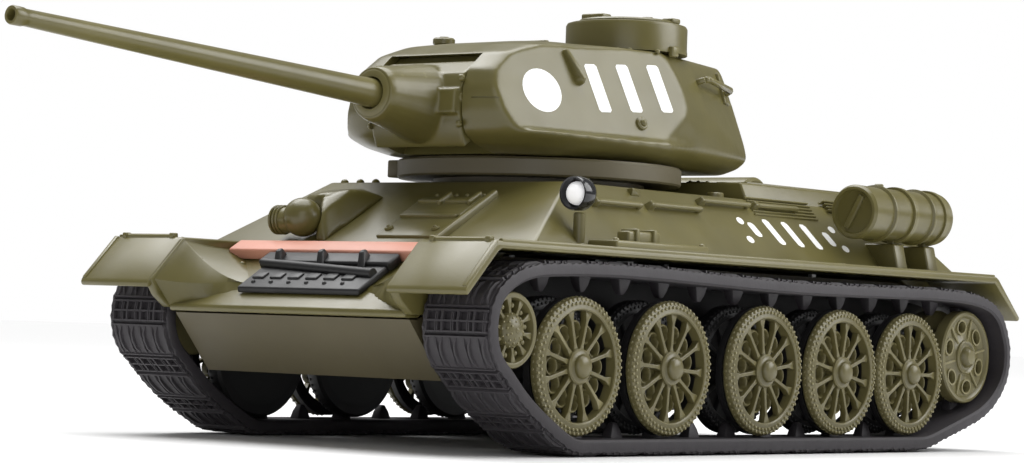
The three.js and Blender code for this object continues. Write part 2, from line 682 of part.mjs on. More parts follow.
// ---------- gun, in its own frame with the trunnion at the origin ----------
function mantlet() {
  const crest = arc(MANTLET_CREST[0], MANTLET_CREST[1], MANTLET_CREST[1], 0);
  const shield = prism('x', [...arc(MANTLET_R, -34, 22, 8), ...crest, ...arc(12.4, 40, -34, 4)],
    -MANTLET_HALF, MANTLET_HALF);
  const cheeks = [-1, 1].map((side) => onSide(side, prism('x', [
    ...arc(12.8, -34, 38, 2), [2.6, 2.6], [2.6, -2.6],
  ], MANTLET_HALF - 2, MANTLET_HALF)));
  const pins = [-1, 1].map((side) => onSide(side, rod('x', 1.5, MANTLET_HALF - 1, 15.4, 0, 0, 10)));
  const snout = turned('y', [
    [0, -12.8], [8.6, -12.8], [8.4, -16], [6.4, -27], [5.7, -31], [3.3, -31], [3.3, -18], [0, -18],
  ], 0, 0, 8);
  const arms = box(-12.3, 12.3, -18, -14, -2.7, 2.7);
  const room = rod('y', 3.3, -31.5, -18, 0, 0, 16);
  return cut(union([shield, ...cheeks, ...pins, snout, arms]), [room]);
}

function barrel() {
  const end = -BARREL_LENGTH;
  return turned('y', [
    [0, -18.3], [3.0, -18.3], [3.0, -34], [1.62, end + 3], [1.85, end + 2.6], [1.85, end], [1.1, end],
    [1.1, end + 14], [0, end + 14],
  ], 0, 0, 16);
}

// ---------- assembly ----------
const upperShell = union([upperHull(), hullFittings(), ...upperHullBosses()]);
addPart(tank, 'hull_upper_shell', cut(upperShell, screwBores()), OLIVE);
addPart(tank, 'hull_lower_tub', lowerTub(), OLIVE_DARK);
addPart(tank, 'bow_strip', bowStrip(), [0xd08e70, 0.5]);
addPart(tank, 'spare_track_links', spareLinks(), BLACK);
addPart(tank, 'headlamp_housing', lampHousing(), [0x111112, 0.25]);
addPart(tank, 'headlamp_led', lampLed(), [0xf2f2ee, 0.2]);
addPart(tank, 'battery_door', box(-16, 16, ...BATTERY_Y, BELLY + 0.1, BELLY + 1.5), OLIVE_DARK);
addPart(tank, 'battery_pack', box(-14, 14, -47, 7, 17.8, 30), [0x2f5d8c, 0.5]);
addPart(tank, 'control_board', box(-29.5, 29.5, -45, 4, 35.3, 36.9), [0x1f5a34, 0.4]);
addPart(tank, 'speaker', rod('z', 13, 16.4, 23, 0, -66, 20), BLACK);
const switchKnob = box(20.4, 23.6, 25, 29.5, 13.2, 16.4);
addPart(tank, 'power_switch', switchKnob.add(box(18.8, 25.2, 23.4, 31, 16.3, 17.3)), BLACK);
SCREWS.forEach(([x, y], i) => {
  const head = rod('z', 2.2, BELLY + 0.2, BELLY + 1.4, 0, 0, 12);
  const shank = rod('z', 1.1, BELLY + 1, 44, 0, 0, 6);
  addPart(tank, `hull_screw_${i + 1}`, head.add(shank), STEEL).position.set(x, y, 0);
});

const outerWheelSolid = outerWheel();
const innerWheelSolid = innerWheel();
const runningGear = [
  ['sprocket', sprocket(), WHEEL_OLIVE, SPROCKET],
  ['drive_gear', driveGear(), NYLON, SPROCKET],
  ['idler', idler(), WHEEL_OLIVE, IDLER],
  ['motor_pinion', motorPinion(), NYLON, MOTOR],
  ['drive_motor', driveMotor(), STEEL, MOTOR],
];
const belt = trackBelt();
const drum = fuelDrum();
for (const [side, label] of [[1, 'left'], [-1, 'right']]) {
  addPart(tank, `track_${label}`, onSide(side, belt), RUBBER);
  addPart(tank, `fuel_drum_${label}`, onSide(side, drum), OLIVE);
  for (const [name, solid, look, place] of runningGear) {
    addPart(tank, `${name}_${label}`, onSide(side, solid), look).position.set(0, place.y, place.z);
  }
  WHEEL_Y.forEach((y, i) => {
    addPart(tank, `road_wheel_${label}_${i + 1}`, onSide(side, outerWheelSolid), WHEEL_OLIVE)
      .position.set(0, y, AXLE_Z);
    addPart(tank, `inner_wheel_${label}_${i + 1}`, onSide(side, innerWheelSolid), BLACK)
      .position.set(0, y, AXLE_Z);
  });
}

const turret = new THREE.Group();
turret.position.y = RING_Y;
tank.add(turret);
const shells = turretShells();
addPart(turret, 'turret_upper_shell', shells.upper, OLIVE);
addPart(turret, 'turret_lower_shell', shells.lower, OLIVE);
addPart(turret, 'turret_ring', turretRing(), OLIVE_DARK);
addPart(turret, 'roof_periscope', rod('z', 2.5, TURRET_ROOF + GAP, 90, -12.5, -15.5, 12), OLIVE);
addPart(turret, 'cupola', cupola(), OLIVE).position.set(CUPOLA.x, CUPOLA.y, 0);
addPart(turret, 'cupola_hatch', cupolaHatch(), OLIVE).position.set(CUPOLA.x, CUPOLA.y, 0);

const turretMotor = rod('z', 5, 36, 49.4, 0, 0, 14).subtract(rod('z', 1.2, 46.7, 52, 0, 0, 8));
addPart(tank, 'turret_motor', turretMotor, STEEL).position.set(0, RING_Y + TURRET_PINION_Y, 0);
addPart(tank, 'turret_pinion', turretPinion(), NYLON).position.set(0, RING_Y + TURRET_PINION_Y, 0);

const gun = new THREE.Group();
gun.position.set(0, TRUNNION.y, TRUNNION.z);
gun.rotation.x = THREE.MathUtils.degToRad(-REST_ELEVATION);
turret.add(gun);
addPart(gun, 'gun_mantlet', mantlet(), OLIVE);
addPart(gun, 'gun_barrel', barrel(), OLIVE);

tank.updateMatrixWorld(true);
const bounds = new THREE.Box3().setFromObject(tank, true);
tank.position.set(0, -(bounds.min.y + bounds.max.y) / 2, -bounds.min.z);
export default tank;
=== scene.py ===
"""Visible model of a radio controlled toy tank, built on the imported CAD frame.

Shapes are made in millimetres in the tank's working frame: +X to the tank's left, -Y to the bow,
+Z up, with y = 0 at the third road wheel's axle. make() moves them into the CAD frame in metres.
"""
import math

import bmesh
import bpy
from mathutils import Matrix, Vector


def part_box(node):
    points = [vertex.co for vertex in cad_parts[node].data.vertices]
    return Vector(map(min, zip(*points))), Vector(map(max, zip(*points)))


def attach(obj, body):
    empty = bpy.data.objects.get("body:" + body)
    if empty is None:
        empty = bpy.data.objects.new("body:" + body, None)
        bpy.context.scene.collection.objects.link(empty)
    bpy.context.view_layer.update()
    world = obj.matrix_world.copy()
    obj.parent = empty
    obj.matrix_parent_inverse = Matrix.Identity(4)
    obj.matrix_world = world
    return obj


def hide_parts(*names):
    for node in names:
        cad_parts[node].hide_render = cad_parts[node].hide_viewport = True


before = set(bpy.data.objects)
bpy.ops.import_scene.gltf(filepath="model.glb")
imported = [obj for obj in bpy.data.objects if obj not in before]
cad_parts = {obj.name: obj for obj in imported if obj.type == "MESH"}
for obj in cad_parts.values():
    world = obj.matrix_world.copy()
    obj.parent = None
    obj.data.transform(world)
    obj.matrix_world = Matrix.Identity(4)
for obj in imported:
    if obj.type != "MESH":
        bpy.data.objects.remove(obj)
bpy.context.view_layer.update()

MM = 0.001
AXLE_Y = sum(corner.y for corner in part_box("road_wheel_left_3")) / 2
SIDES = {"left": 1, "right": -1}


# ---------- meshes ----------
def place(axis, u, v, t):
    """A point from its two outline coordinates and its station along the axis."""
    if axis == "x":
        return Vector((t, u, v))
    if axis == "y":
        return Vector((u, t, v))
    return Vector((u, v, t))


def tidy(bm):
    bmesh.ops.remove_doubles(bm, verts=bm.verts, dist=1e-4)
    bmesh.ops.recalc_face_normals(bm, faces=bm.faces)
    return bm


def skin(rings, closed=False):
    """A closed skin through rings of points; open ends get a flat lid."""
    bm = bmesh.new()
    loops = [[bm.verts.new(p) for p in ring] for ring in rings]
    count = len(loops[0])
    last = len(loops) if closed else len(loops) - 1
    for k in range(last):
        a, b = loops[k], loops[(k + 1) % len(loops)]
        for i in range(count):
            j = (i + 1) % count
            bm.faces.new((a[i], a[j], b[j], b[i]))
    if not closed:
        bm.faces.new(loops[0])
        bm.faces.new(loops[-1])
    return tidy(bm)


def prism(axis, outline, start, end):
    """An outline pulled along an axis."""
    return skin([[place(axis, u, v, t) for u, v in outline] for t in (start, end)])


def box(x0, x1, y0, y1, z0, z1):
    return prism("z", [(x0, y0), (x1, y0), (x1, y1), (x0, y1)], z0, z1)


def turned(axis, profile, u=0, v=0, steps=48, whole=False):
    """A profile of (radius, station) points turned round an axis; whole=True closes it on itself."""
    rings = []
    for i in range(steps):
        a = 2 * math.pi * i / steps
        ca, sa = math.cos(a), math.sin(a)
        rings.append([place(axis, u + r * ca, v + r * sa, t) for r, t in profile])
    bm = bmesh.new()
    loops = [[bm.verts.new(p) for p in ring] for ring in rings]
    count = len(profile)
    for k in range(steps):
        a, b = loops[k], loops[(k + 1) % steps]
        for i in range(count if whole else count - 1):
            j = (i + 1) % count
            bm.faces.new((a[i], a[j], b[j], b[i]))
    bmesh.ops.remove_doubles(bm, verts=bm.verts, dist=1e-4)
    flat = [f for f in bm.faces if f.calc_area() < 1e-9]
    bmesh.ops.delete(bm, geom=flat, context="FACES_ONLY")
    bmesh.ops.recalc_face_normals(bm, faces=bm.faces)
    return bm


def rod(axis, r, start, end, u=0, v=0, steps=24, edge=0.25):
    """A short round bar with softened ends."""
    sign = 1 if end > start else -1
    e = edge * sign
    profile = [(0, start), (r - edge, start), (r, start + e), (r, end - e), (r - edge, end), (0, end)]
    return turned(axis, profile, u, v, steps)


def dome(axis, r, height, base, u=0, v=0, steps=12, rings=3):
    """A low rounded stud that stands on base and rises along the axis by height."""
    profile = [(r, base - 0.3 * (1 if height > 0 else -1))]
    for i in range(rings + 1):
        a = math.pi / 2 * i / rings
        profile.append((r * math.cos(a), base + height * math.sin(a)))
    profile.append((0, profile[0][1]))
    return turned(axis, profile, u, v, steps, whole=True)


def hull_of(points):
    """The tightest solid round a set of points."""
    bm = bmesh.new()
    for p in points:
        bm.verts.new(p)
    bmesh.ops.convex_hull(bm, input=bm.verts)
    loose = [v for v in bm.verts if not v.link_faces]
    bmesh.ops.delete(bm, geom=loose, context="VERTS")
    bmesh.ops.dissolve_limit(bm, angle_limit=0.02, verts=bm.verts, edges=bm.edges)
    return tidy(bm)


def inside(planes):
    """The solid behind every plane of a list of (point, normal)."""
    bm = bmesh.new()
    bmesh.ops.create_cube(bm, size=400)
    for point, normal in planes:
        geom = bm.verts[:] + bm.edges[:] + bm.faces[:]
        cut = bmesh.ops.bisect_plane(
            bm, geom=geom, dist=1e-5, plane_co=point, plane_no=normal, clear_outer=True)
        edges = [g for g in cut["geom_cut"] if isinstance(g, bmesh.types.BMEdge)]
        if edges:
            bmesh.ops.edgeloop_fill(bm, edges=edges)
    return tidy(bm)


def softened(bm, width, steps=3, angle=25):
    """Rounds the sharp edges of a shape."""
    limit = math.radians(angle)
    edges = [e for e in bm.edges if len(e.link_faces) == 2 and e.calc_face_angle(0) > limit]
    bmesh.ops.bevel(
        bm, geom=edges, offset=width, segments=steps, profile=0.5, affect="EDGES",
        clamp_overlap=True)
    return bm


def block(x0, x1, y0, y1, z0, z1, edge, steps=3):
    """A box with rounded edges."""
    return softened(box(x0, x1, y0, y1, z0, z1), edge, steps)


def moved(bm, matrix):
    bmesh.ops.transform(bm, matrix=matrix, verts=bm.verts)
    return bm


def tilted(point, angle, axis):
    """The move that turns a shape about an axis and then takes it to a point."""
    return Matrix.Translation(point) @ Matrix.Rotation(angle, 4, axis)


def shifted(bm, x=0, y=0, z=0):
    return moved(bm, Matrix.Translation((x, y, z)))


def copied(bm, matrix=None):
    twin = bm.copy()
    return moved(twin, matrix) if matrix else twin


def mirrored(bm):
    twin = copied(bm, Matrix.Scale(-1, 4, (1, 0, 0)))
    bmesh.ops.reverse_faces(twin, faces=twin.faces)
    return twin


def joined(shapes):
    """Several closed shapes as one mesh."""
    whole = bmesh.new()
    for bm in shapes:
        mesh = bpy.data.meshes.new("part")
        bm.to_mesh(mesh)
        bm.free()
        whole.from_mesh(mesh)
        bpy.data.meshes.remove(mesh)
    return whole


def both(bm):
    """A shape and its mirror image."""
    return [mirrored(bm), bm]


def spun(bm, axis, count, u=0, v=0, start=0.0):
    """Copies of a shape at even steps round an axis through (u, v)."""
    centre = place(axis, u, v, 0)
    copies = []
    for i in range(count):
        turn = Matrix.Rotation(start + 2 * math.pi * i / count, 4, axis.upper())
        copies.append(copied(bm, Matrix.Translation(centre) @ turn @ Matrix.Translation(-centre)))
    bm.free()
    return copies


def linked(name, data):
    """A new object of that name in the scene."""
    obj = bpy.data.objects.new(name, data)
    bpy.context.scene.collection.objects.link(obj)
    return obj


def temporary(bm):
    """A shape as an object, for the tools that only work on objects."""
    mesh = bpy.data.meshes.new("tool")
    bm.to_mesh(mesh)
    bm.free()
    return linked("tool", mesh)


def evaluated(obj, extra=()):
    """The mesh of an object with its modifiers applied; the object is then removed."""
    bpy.context.view_layer.update()
    graph = bpy.context.evaluated_depsgraph_get()
    bm = bmesh.new()
    bm.from_object(obj, graph)
    for gone in [obj, *extra]:
        bpy.data.objects.remove(gone, do_unlink=True)
    return bm


def combined(bm, tools, operation="DIFFERENCE"):
    """A shape with other shapes cut from it, or added to it."""
    body = temporary(bm)
    extra = []
    for tool in tools:
        other = temporary(tool)
        other.hide_render = True
        extra.append(other)
        modifier = body.modifiers.new("combine", "BOOLEAN")
        modifier.operation = operation
        modifier.solver = "EXACT"
        modifier.object = other
    return evaluated(body, extra)


def moulded(bm, voxel, rounds=3):
    """A shape remade on a fine grid and smoothed, so that its edges are soft like a moulding."""
    body = temporary(bm)
    remesh = body.modifiers.new("grid", "REMESH")
    remesh.mode = "VOXEL"
    remesh.voxel_size = voxel
    smooth = body.modifiers.new("soften", "SMOOTH")
    smooth.factor = 0.5
    smooth.iterations = rounds
    return evaluated(body)


def make(name, bm, body, material, replaces=(), angle=35):
    """Turns a shape in millimetres into a piece of the model."""
    bmesh.ops.transform(
        bm, matrix=Matrix.Translation((0, AXLE_Y, 0)) @ Matrix.Scale(MM, 4), verts=bm.verts)
    mesh = bpy.data.meshes.new(name)
    bm.to_mesh(mesh)
    bm.free()
    mesh.shade_smooth()
    mesh.set_sharp_from_angle(angle=math.radians(angle))
    piece = linked(name, mesh)
    mesh.materials.append(material)
    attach(piece, body)
    if replaces:
        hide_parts(*replaces)
    return piece


# ---------- materials ----------
def linear(*rgb):
    """A colour given as 0 to 255 screen values."""
    values = []
    for c in rgb:
        c = c / 255
        values.append(c / 12.92 if c <= 0.04045 else ((c + 0.055) / 1.055) ** 2.4)
    return (*values, 1.0)


MIX_A, MIX_B, MIX_COLOUR = 6, 7, 2   # sockets of a mix node set to colours


def noise(tree, size, detail):
    """Noise in the piece's own coordinates."""
    where = tree.nodes.new("ShaderNodeTexCoord")
    node = tree.nodes.new("ShaderNodeTexNoise")
    node.inputs["Scale"].default_value = size
    node.inputs["Detail"].default_value = detail
    tree.links.new(where.outputs["Object"], node.inputs["Vector"])
    return node.outputs["Fac"]


def mottle(tree, base, uneven, scale):
    """Soft patches a little darker and lighter than the base colour."""
    ramp = tree.nodes.new("ShaderNodeValToRGB")
    for stop, position, share in zip(ramp.color_ramp.elements, (0.3, 0.7), (-uneven, uneven)):
        stop.position = position
        stop.color = (*[c * (1 + share) for c in base], 1)
    tree.links.new(noise(tree, 55 * scale, 4), ramp.inputs["Fac"])
    return ramp.outputs["Color"]


def painted_edge_highlight(tree, colour, base, edge_highlight):
    """The colour, mixed with a paler one along sharp edges: a painted highlight on the edges."""
    geometry = tree.nodes.new("ShaderNodeNewGeometry")
    edges = tree.nodes.new("ShaderNodeMapRange")
    edges.inputs["From Min"].default_value = 0.52
    edges.inputs["From Max"].default_value = 0.62
    edges.inputs["To Max"].default_value = edge_highlight
    tree.links.new(geometry.outputs["Pointiness"], edges.inputs["Value"])
    mix = tree.nodes.new("ShaderNodeMix")
    mix.data_type = "RGBA"
    tree.links.new(edges.outputs["Result"], mix.inputs["Factor"])
    tree.links.new(colour, mix.inputs[MIX_A])
    mix.inputs[MIX_B].default_value = (*[min(1, c * 1.9 + 0.05) for c in base], 1)
    return mix.outputs[MIX_COLOUR]


def uneven_gloss(tree, rough, scale):
    gloss = tree.nodes.new("ShaderNodeMapRange")
    gloss.inputs["To Min"].default_value = max(0.05, rough - 0.09)
    gloss.inputs["To Max"].default_value = rough + 0.09
    tree.links.new(noise(tree, 160 * scale, 3), gloss.inputs["Value"])
    return gloss.outputs["Result"]


def fine_grain(tree, grain, scale):
    bump = tree.nodes.new("ShaderNodeBump")
    bump.inputs["Strength"].default_value = 0.5
    bump.inputs["Distance"].default_value = grain * MM
    tree.links.new(noise(tree, 1500 * scale, 3), bump.inputs["Height"])
    return bump.outputs["Normal"]


def plastic(name, rgb, rough=0.4, uneven=0.12, grain=0.02, edge_highlight=0.25, metal=0.0, scale=1.0):
    """Moulded plastic: mottled colour, uneven gloss, fine grain and a painted highlight along sharp edges."""
    material = bpy.data.materials.new(name)
    material.use_nodes = True
    tree = material.node_tree
    shader = tree.nodes["Principled BSDF"]
    shader.inputs["Metallic"].default_value = metal
    base = linear(*rgb)[:3]
    colour = painted_edge_highlight(tree, mottle(tree, base, uneven, scale), base, edge_highlight)
    tree.links.new(colour, shader.inputs["Base Color"])
    tree.links.new(uneven_gloss(tree, rough, scale), shader.inputs["Roughness"])
    tree.links.new(fine_grain(tree, grain, scale), shader.inputs["Normal"])
    return material


# Each material's edge setting is the strength of a painted highlight along its sharp edges.
OLIVE = plastic("olive_plastic", (92, 86, 46), 0.32)
# A darker copy of the olive plastic: painted shade for the lower tub, the battery door and the turret ring.
OLIVE_SHADED = plastic("olive_plastic_painted_shade", (80, 73, 50), 0.42)
WHEEL = plastic("wheel_plastic", (90, 84, 50), 0.34, edge_highlight=0.6)
RUBBER = plastic("track_rubber", (36, 32, 36), 0.6, grain=0.06, edge_highlight=0.35)
BLACK = plastic("black_plastic", (11, 10, 11), 0.46, edge_highlight=0.2)
GLOSS = plastic("gloss_black", (20, 20, 22), 0.15, edge_highlight=0.2)
LENS_PAINTED_GLOW = plastic("white_lens_painted_glow", (246, 246, 248), 0.3, uneven=0.02, grain=0.25, edge_highlight=0.0, scale=0.6)
SALMON = plastic("salmon_plastic", (205, 140, 120), 0.45, uneven=0.05)
# The lens glows faintly though the lamp is not lit: painted light that brightens its shaded side.
LENS_PAINTED_GLOW.node_tree.nodes["Principled BSDF"].inputs["Emission Color"].default_value = (1, 1, 1, 1)
LENS_PAINTED_GLOW.node_tree.nodes["Principled BSDF"].inputs["Emission Strength"].default_value = 0.3
PAINT = plastic("white_marking", (240, 240, 238), 0.4, uneven=0.02, edge_highlight=0.0)
BLUE = plastic("battery_wrap", (60, 105, 160), 0.35)
GREEN = plastic("board_lacquer", (38, 110, 62), 0.4)
STEEL = plastic("brushed_steel", (170, 170, 168), 0.32, grain=0.01, metal=1.0, edge_highlight=0.1)
NYLON = plastic("gear_nylon", (222, 218, 206), 0.5, uneven=0.04)


# ---------- hull ----------
NOSE = (-101.2, 28.0)            # foot of the bow plate
SLOPE = 0.577                    # rise of the bow plate per millimetre of length
GLACIS = tilted((0, *NOSE), math.atan(SLOPE), "X")
STRETCH = 1 / math.cos(math.atan(SLOPE))
ROOF = 56.5
RING_Y = -19.2
HALF_WIDTH = 53.57               # outer edge of the fenders, and the tank's widest point
WHEEL_R = 14.15                  # radius of the road wheels


def along(y):
    """Distance up the bow plate from its foot to the place above y."""
    return (y - NOSE[0]) * STRETCH


def glacis_z(y):
    """Height of the bow plate's plane at a length."""
    return NOSE[1] + SLOPE * (y - NOSE[0])


GUN_BALL = (-18.6, along(-74.2), 4.5)      # the bow machine gun's ball on the bow plate


def on_glacis(bm):
    """Lifts a shape made flat, with y up the slope and z off the surface, on to the bow plate."""
    return moved(bm, GLACIS)


def superstructure(inset):
    """The sloped upper hull; inset makes the smaller shape of its inside."""
    tilt = (0, 1, 0.8667)
    planes = [
        ((0, 0, ROOF), (0, 0, 1)),
        ((33.4, 0, ROOF), (1, 0, 0.81)),
        ((-33.4, 0, ROOF), (-1, 0, 0.81)),
        ((0, *NOSE), (0, -SLOPE, 1)),
        ((0, 98.5, 31), tilt),
        ((0, 0, 40.6 - inset), (0, 0, -1)),
    ]
    shrunk = []
    for point, normal in planes:
        direction = Vector(normal).normalized()
        depth = inset if normal[2] >= 0 else -inset
        shrunk.append((Vector(point) - direction * depth, direction))
    return inside(shrunk)


def bow_block():
    outline = [NOSE, (NOSE[0], 26.6), (-97, 26.6), (-74, 40.6), (-60, 40.6), (-60, glacis_z(-60))]
    return shifted(softened(prism("x", outline, -32.9, 32.9), 0.5), z=-0.06)


def fender():
    """Left track guard with its front and rear flaps."""
    outline = [
        (-97.6, 42.1), (-98.6, 41.5), (-107.1, 32.9), (-107.5, 32.1), (-107.2, 31.4), (-106.6, 31.2),
        (-97.9, 39.9), (-96.7, 40.6), (92.3, 40.6), (93.2, 40.0), (104, 31.6), (104.7, 31.8),
        (104.9, 32.5), (94.4, 41.5), (93.2, 42.1),
    ]
    plate = softened(prism("x", outline, 33.2, HALF_WIDTH), 0.3, 2)
    lip = block(52.5, HALF_WIDTH, -96.8, 92.6, 41.6, 42.6, 0.3, 2)
    cheek = prism("x", [
        (-72, 42.0), (-97.6, 42.0), (-106.9, 32.8), (-104.6, 29.6), (-101.2, 27.2), (-97, 27.2),
        (-72, 40.6),
    ], 32.75, 34.9)
    tail = prism("x", [(80, 42.0), (93.2, 42.0), (98.6, 35), (98.6, 32), (80, 40.6)], 33, 34.6)
    tilt = math.atan2(42.1 - 32.1, 107.5 - 97.6)
    rim = block(52.3, 53.4, 0.4, 13.4, -0.2, 0.45, 0.25, 2)
    moved(rim, tilted((0, -107.2, 32.5), tilt, "X"))
    hinge = rod("x", 0.6, 36.4, 50.8, -97.2, 42.2, 16)
    nuts = [block(x - 0.6, x + 0.6, -98.1, -96.3, 41.7, 43.0, 0.3) for x in (36.4, 50.6)]
    return joined([plate, lip, softened(cheek, 0.4), softened(tail, 0.3), rim, hinge, *nuts])


def engine_deck():
    body = inside([
        ((0, 15.5, 0), (0, -1, 0)),
        ((0, 0, 60.5), (0, 0, 1)),
        ((31, 0, 60.5), Vector((1, 0, 0.44)).normalized()),
        ((-31, 0, 60.5), Vector((-1, 0, 0.44)).normalized()),
        ((0, 69.5, 60.5), Vector((0, 0.6, 0.8)).normalized()),
        ((0, 0, 55.6), (0, 0, -1)),
    ])
    shapes = [softened(body, 0.6)]
    hump = rod("x", 7, -18, 18, 41, 56.3, 48, 0.8)
    shapes.append(hump)
    for x in range(-27, 28, 6):
        if abs(x) > 20:
            shapes.append(block(x - 1.4, x + 1.4, 22, 64, 60.2, 61.0, 0.3, 2))
    for k in range(7):
        y = 53 + k * 2.1
        shapes.append(block(-17, 17, y, y + 1.1, 60.2, 60.9, 0.25, 2))
    for x in (-12, 12):
        shapes.append(rod("z", 3.2, 60.2, 61.2, x, 26, 28))
        shapes.extend(spun(dome("z", 0.45, 0.4, 61.1, x + 2.3, 26), "z", 6, x, 26))
    return shapes


def rear_details():
    """Round hatch, exhaust covers and hinges on the sloped stern plate."""
    drop = tilted((0, 98.5, 31), -math.atan2(1, 0.8667), "X")
    shapes = [
        rod("z", 8.2, -0.4, 0.9, 0, -22.4, 48, 0.4),
        rod("z", 6.6, -0.2, 1.5, 0, -22.4, 48, 0.4),
    ]
    shapes.extend(spun(dome("z", 0.5, 0.5, 0.85, 7.4, -22.4), "z", 10, 0, -22.4))
    for x in (-17, 17):
        shapes.append(block(x - 4.2, x + 4.2, -27.4, -17.4, -0.4, 1.4, 0.6))
        shapes.append(rod("z", 2.5, 0, 4.4, x, -22.4, 28, 0.3))
    for x in (-27, -9.5, 9.5, 27):
        shapes.append(rod("x", 0.9, x - 2, x + 2, -32.0, 0.3, 16))
    ledge = block(-32.4, 32.4, 89.4, 94.2, 39.95, 41.8, 0.5)
    return [ledge] + [moved(bm, drop) for bm in shapes]


def hatch():
    """Driver's hatch with its ribs, hinges and bolts on the bow plate."""
    s0, s1, s2 = along(-74.6), along(-67.3), along(-59.6)
    shapes = [
        block(1, 17.8, s1 + 0.5, s2, -0.6, 0.9, 0.35),
        block(1, 18.4, s0, s1 - 0.1, -0.6, 0.55, 0.3),
        block(1.5, 17.2, s1 - 0.3, s1 + 0.5, -0.4, 1.25, 0.3),
        block(18.6, 20.1, along(-76.5), along(-57.4), -0.6, 1.5, 0.5),
        block(2, 7.6, along(-62.3), along(-61.6), 0, 1.6, 0.3),
        block(9.6, 16.4, along(-62.3), along(-61.6), 0, 1.6, 0.3),
    ]
    for x in (8.4, 16.6):
        shapes.append(block(x - 0.6, x + 0.6, along(-63), along(-58.8), 0, 1.9, 0.4))
    for x in (2.4, 15.3):
        shapes.append(rod("z", 1.0, 0.2, 1.1, x, along(-71.9), 20, 0.25))
        shapes.append(dome("z", 0.5, 0.45, 1.05, x, along(-71.9)))
    for x in (3, 5.6, 8.4, 11.4, 13.8, 16):
        shapes.append(dome("z", 0.5, 0.5, 0, x, along(-57.6)))
    return [on_glacis(bm) for bm in shapes]


def gun_port():
    """Armoured hood behind and beside the bow machine gun's ball."""
    back = [
        (-25, -66, 5.2), (-13.4, -64.4, 5.6), (-19, -68, 6.6), (-15, -60, 3.2),
        (-24, -60, 3.0), (-27, -70, 0.4), (-26, -58, -0.4),
        (-11.4, -57.5, -0.4), (-11.2, -62.4, -0.4), (-24, -71, -0.4), (-15, -70, -0.4),
    ]
    beside = [
        (-17.4, -68.6, 6.6), (-13.4, -64.4, 5.6), (-14.2, -73, 5.2), (-11.8, -76.4, -0.4), (-15, -76.6, -0.4),
        (-11.2, -62.4, -0.4), (-12, -68, -0.4), (-18, -70, -0.4), (-14, -75.6, 2.0),
    ]
    lumps = []
    for points in (back, beside):
        lumps.append(hull_of([(x, along(y), z) for x, y, z in points]))
    hood = moulded(joined(lumps), 0.45, 26)
    well = ball_at_gun(4.6)
    hood = combined(hood, [well])
    shapes = [hood, shifted(rod("x", 2.8, -6.4, 0, -0.5, -0.4, 40, 0.3), *GUN_BALL)]
    for start in (-7.2, -6.2, -5.2):
        shapes.append(shifted(rod("x", 3.2, start, start + 0.5, -0.5, -0.4, 40, 0.2), *GUN_BALL))
    return [on_glacis(bm) for bm in shapes]


def arc_angles(count, start=0.0, sweep=2 * math.pi):
    return [start + sweep * i / count for i in range(count)]


def ball_at_gun(r):
    """A ball of radius r at the bow machine gun's place, in the bow plate's own frame."""
    half = [(r * math.sin(a), r * math.cos(a)) for a in arc_angles(16, 0, math.pi)]
    return shifted(turned("z", half + [(0, -r)], 0, 0, 40), *GUN_BALL)


def ball_mount():
    return [on_glacis(ball_at_gun(4.2))]


SIDE_PLATE = tilted((33.4, 0, ROOF), math.atan2(1, 0.81), "Y")


def on_side(bm):
    """Puts a shape made flat on the left side plate: y along the hull, x outwards-down, z off it."""
    return moved(bm, SIDE_PLATE)


def down(z):
    """Distance down the side plate from the roof edge to a height."""
    return (ROOF - z) * math.hypot(1, 0.81)


def side_rails():
    """Grab rails, brackets and small fittings on the left side plate."""
    shapes = []
    for y, z, length in ((-47, 52.0, 16), (-27, 52.4, 18.5), (-6, 54.5, 18.5), (15, 54.6, 17)):
        d = down(z)
        shapes.append(rod("y", 0.62, y, y + length, d, 0.95, 14, 0.2))
        foot = hull_of([
            (d - 0.9, y - 1.2, -0.3), (d + 0.9, y - 1.2, -0.3),
            (d - 0.9, y + 1.4, -0.3), (d + 0.9, y + 1.4, -0.3),
            (d - 0.6, y - 0.6, 1.7), (d + 0.6, y - 0.6, 1.7),
            (d + 0.6, y + 0.8, 1.7), (d - 0.6, y + 0.8, 1.7),
        ])
        shapes.append(softened(foot, 0.3))
        shapes.append(block(d - 0.5, d + 0.5, y + length - 1, y + length, -0.3, 1.5, 0.25))
    tip = [Vector((down(55.4) + s, -31, h)) for s, h in ((-1.1, -0.2), (1.1, -0.2), (0, 1.6))]
    tip += [Vector((p.x, -27.4, p.z * 0.3)) for p in tip]
    shapes.append(softened(hull_of(tip), 0.25))
    for k in range(6):
        d = down(59.4 - k * 0.75) + 3.3
        shapes.append(block(d - 0.2, d + 0.2, 14, 40, -0.3, 0.35, 0.12, 1))
    for k in range(4):
        d = down(57.5) + k * 0.9
        shapes.append(block(d - 0.22, d + 0.22, 46.5, 52, -0.3, 0.9, 0.15, 1))
    return [on_side(bm) for bm in shapes]


def fender_bins(side):
    """Low stowage strip, tool box and lamp post on one track guard."""
    shapes = [
        block(45.5, 53.2, -59.6, -27.2, 42.0, 44.0, 0.45),
        block(47.6, 50.8, -52.6, -41.3, 42.0, 46.2, 0.5),
        block(47.0, 51.4, -50.5, -49.3, 42.0, 46.7, 0.3),
        block(47.0, 51.4, -44.5, -43.3, 42.0, 46.7, 0.3),
    ]
    for y in (-58.6, -28.4):
        shapes.append(dome("z", 0.75, 0.7, 43.9, 52.1, y))
    for y in (-20, 4, 26):
        shapes.append(block(44.6, 52.8, y, y + 0.9, 42.0, 42.75, 0.25, 2))
    if side > 0:
        shapes.append(rod("z", 1.25, 41.6, 49.5, 43.6, -60, 24))
        shapes.append(rod("z", 2.2, 41.6, 43.2, 43.6, -60, 24))
    return joined(shapes)


def drum_bracket(y):
    outline = [(43, 42), (49.5, 42), (48, 48.4), (38.6, 48.4)]
    wedge = softened(prism("y", outline, y, y + 4.6), 0.5)
    return wedge


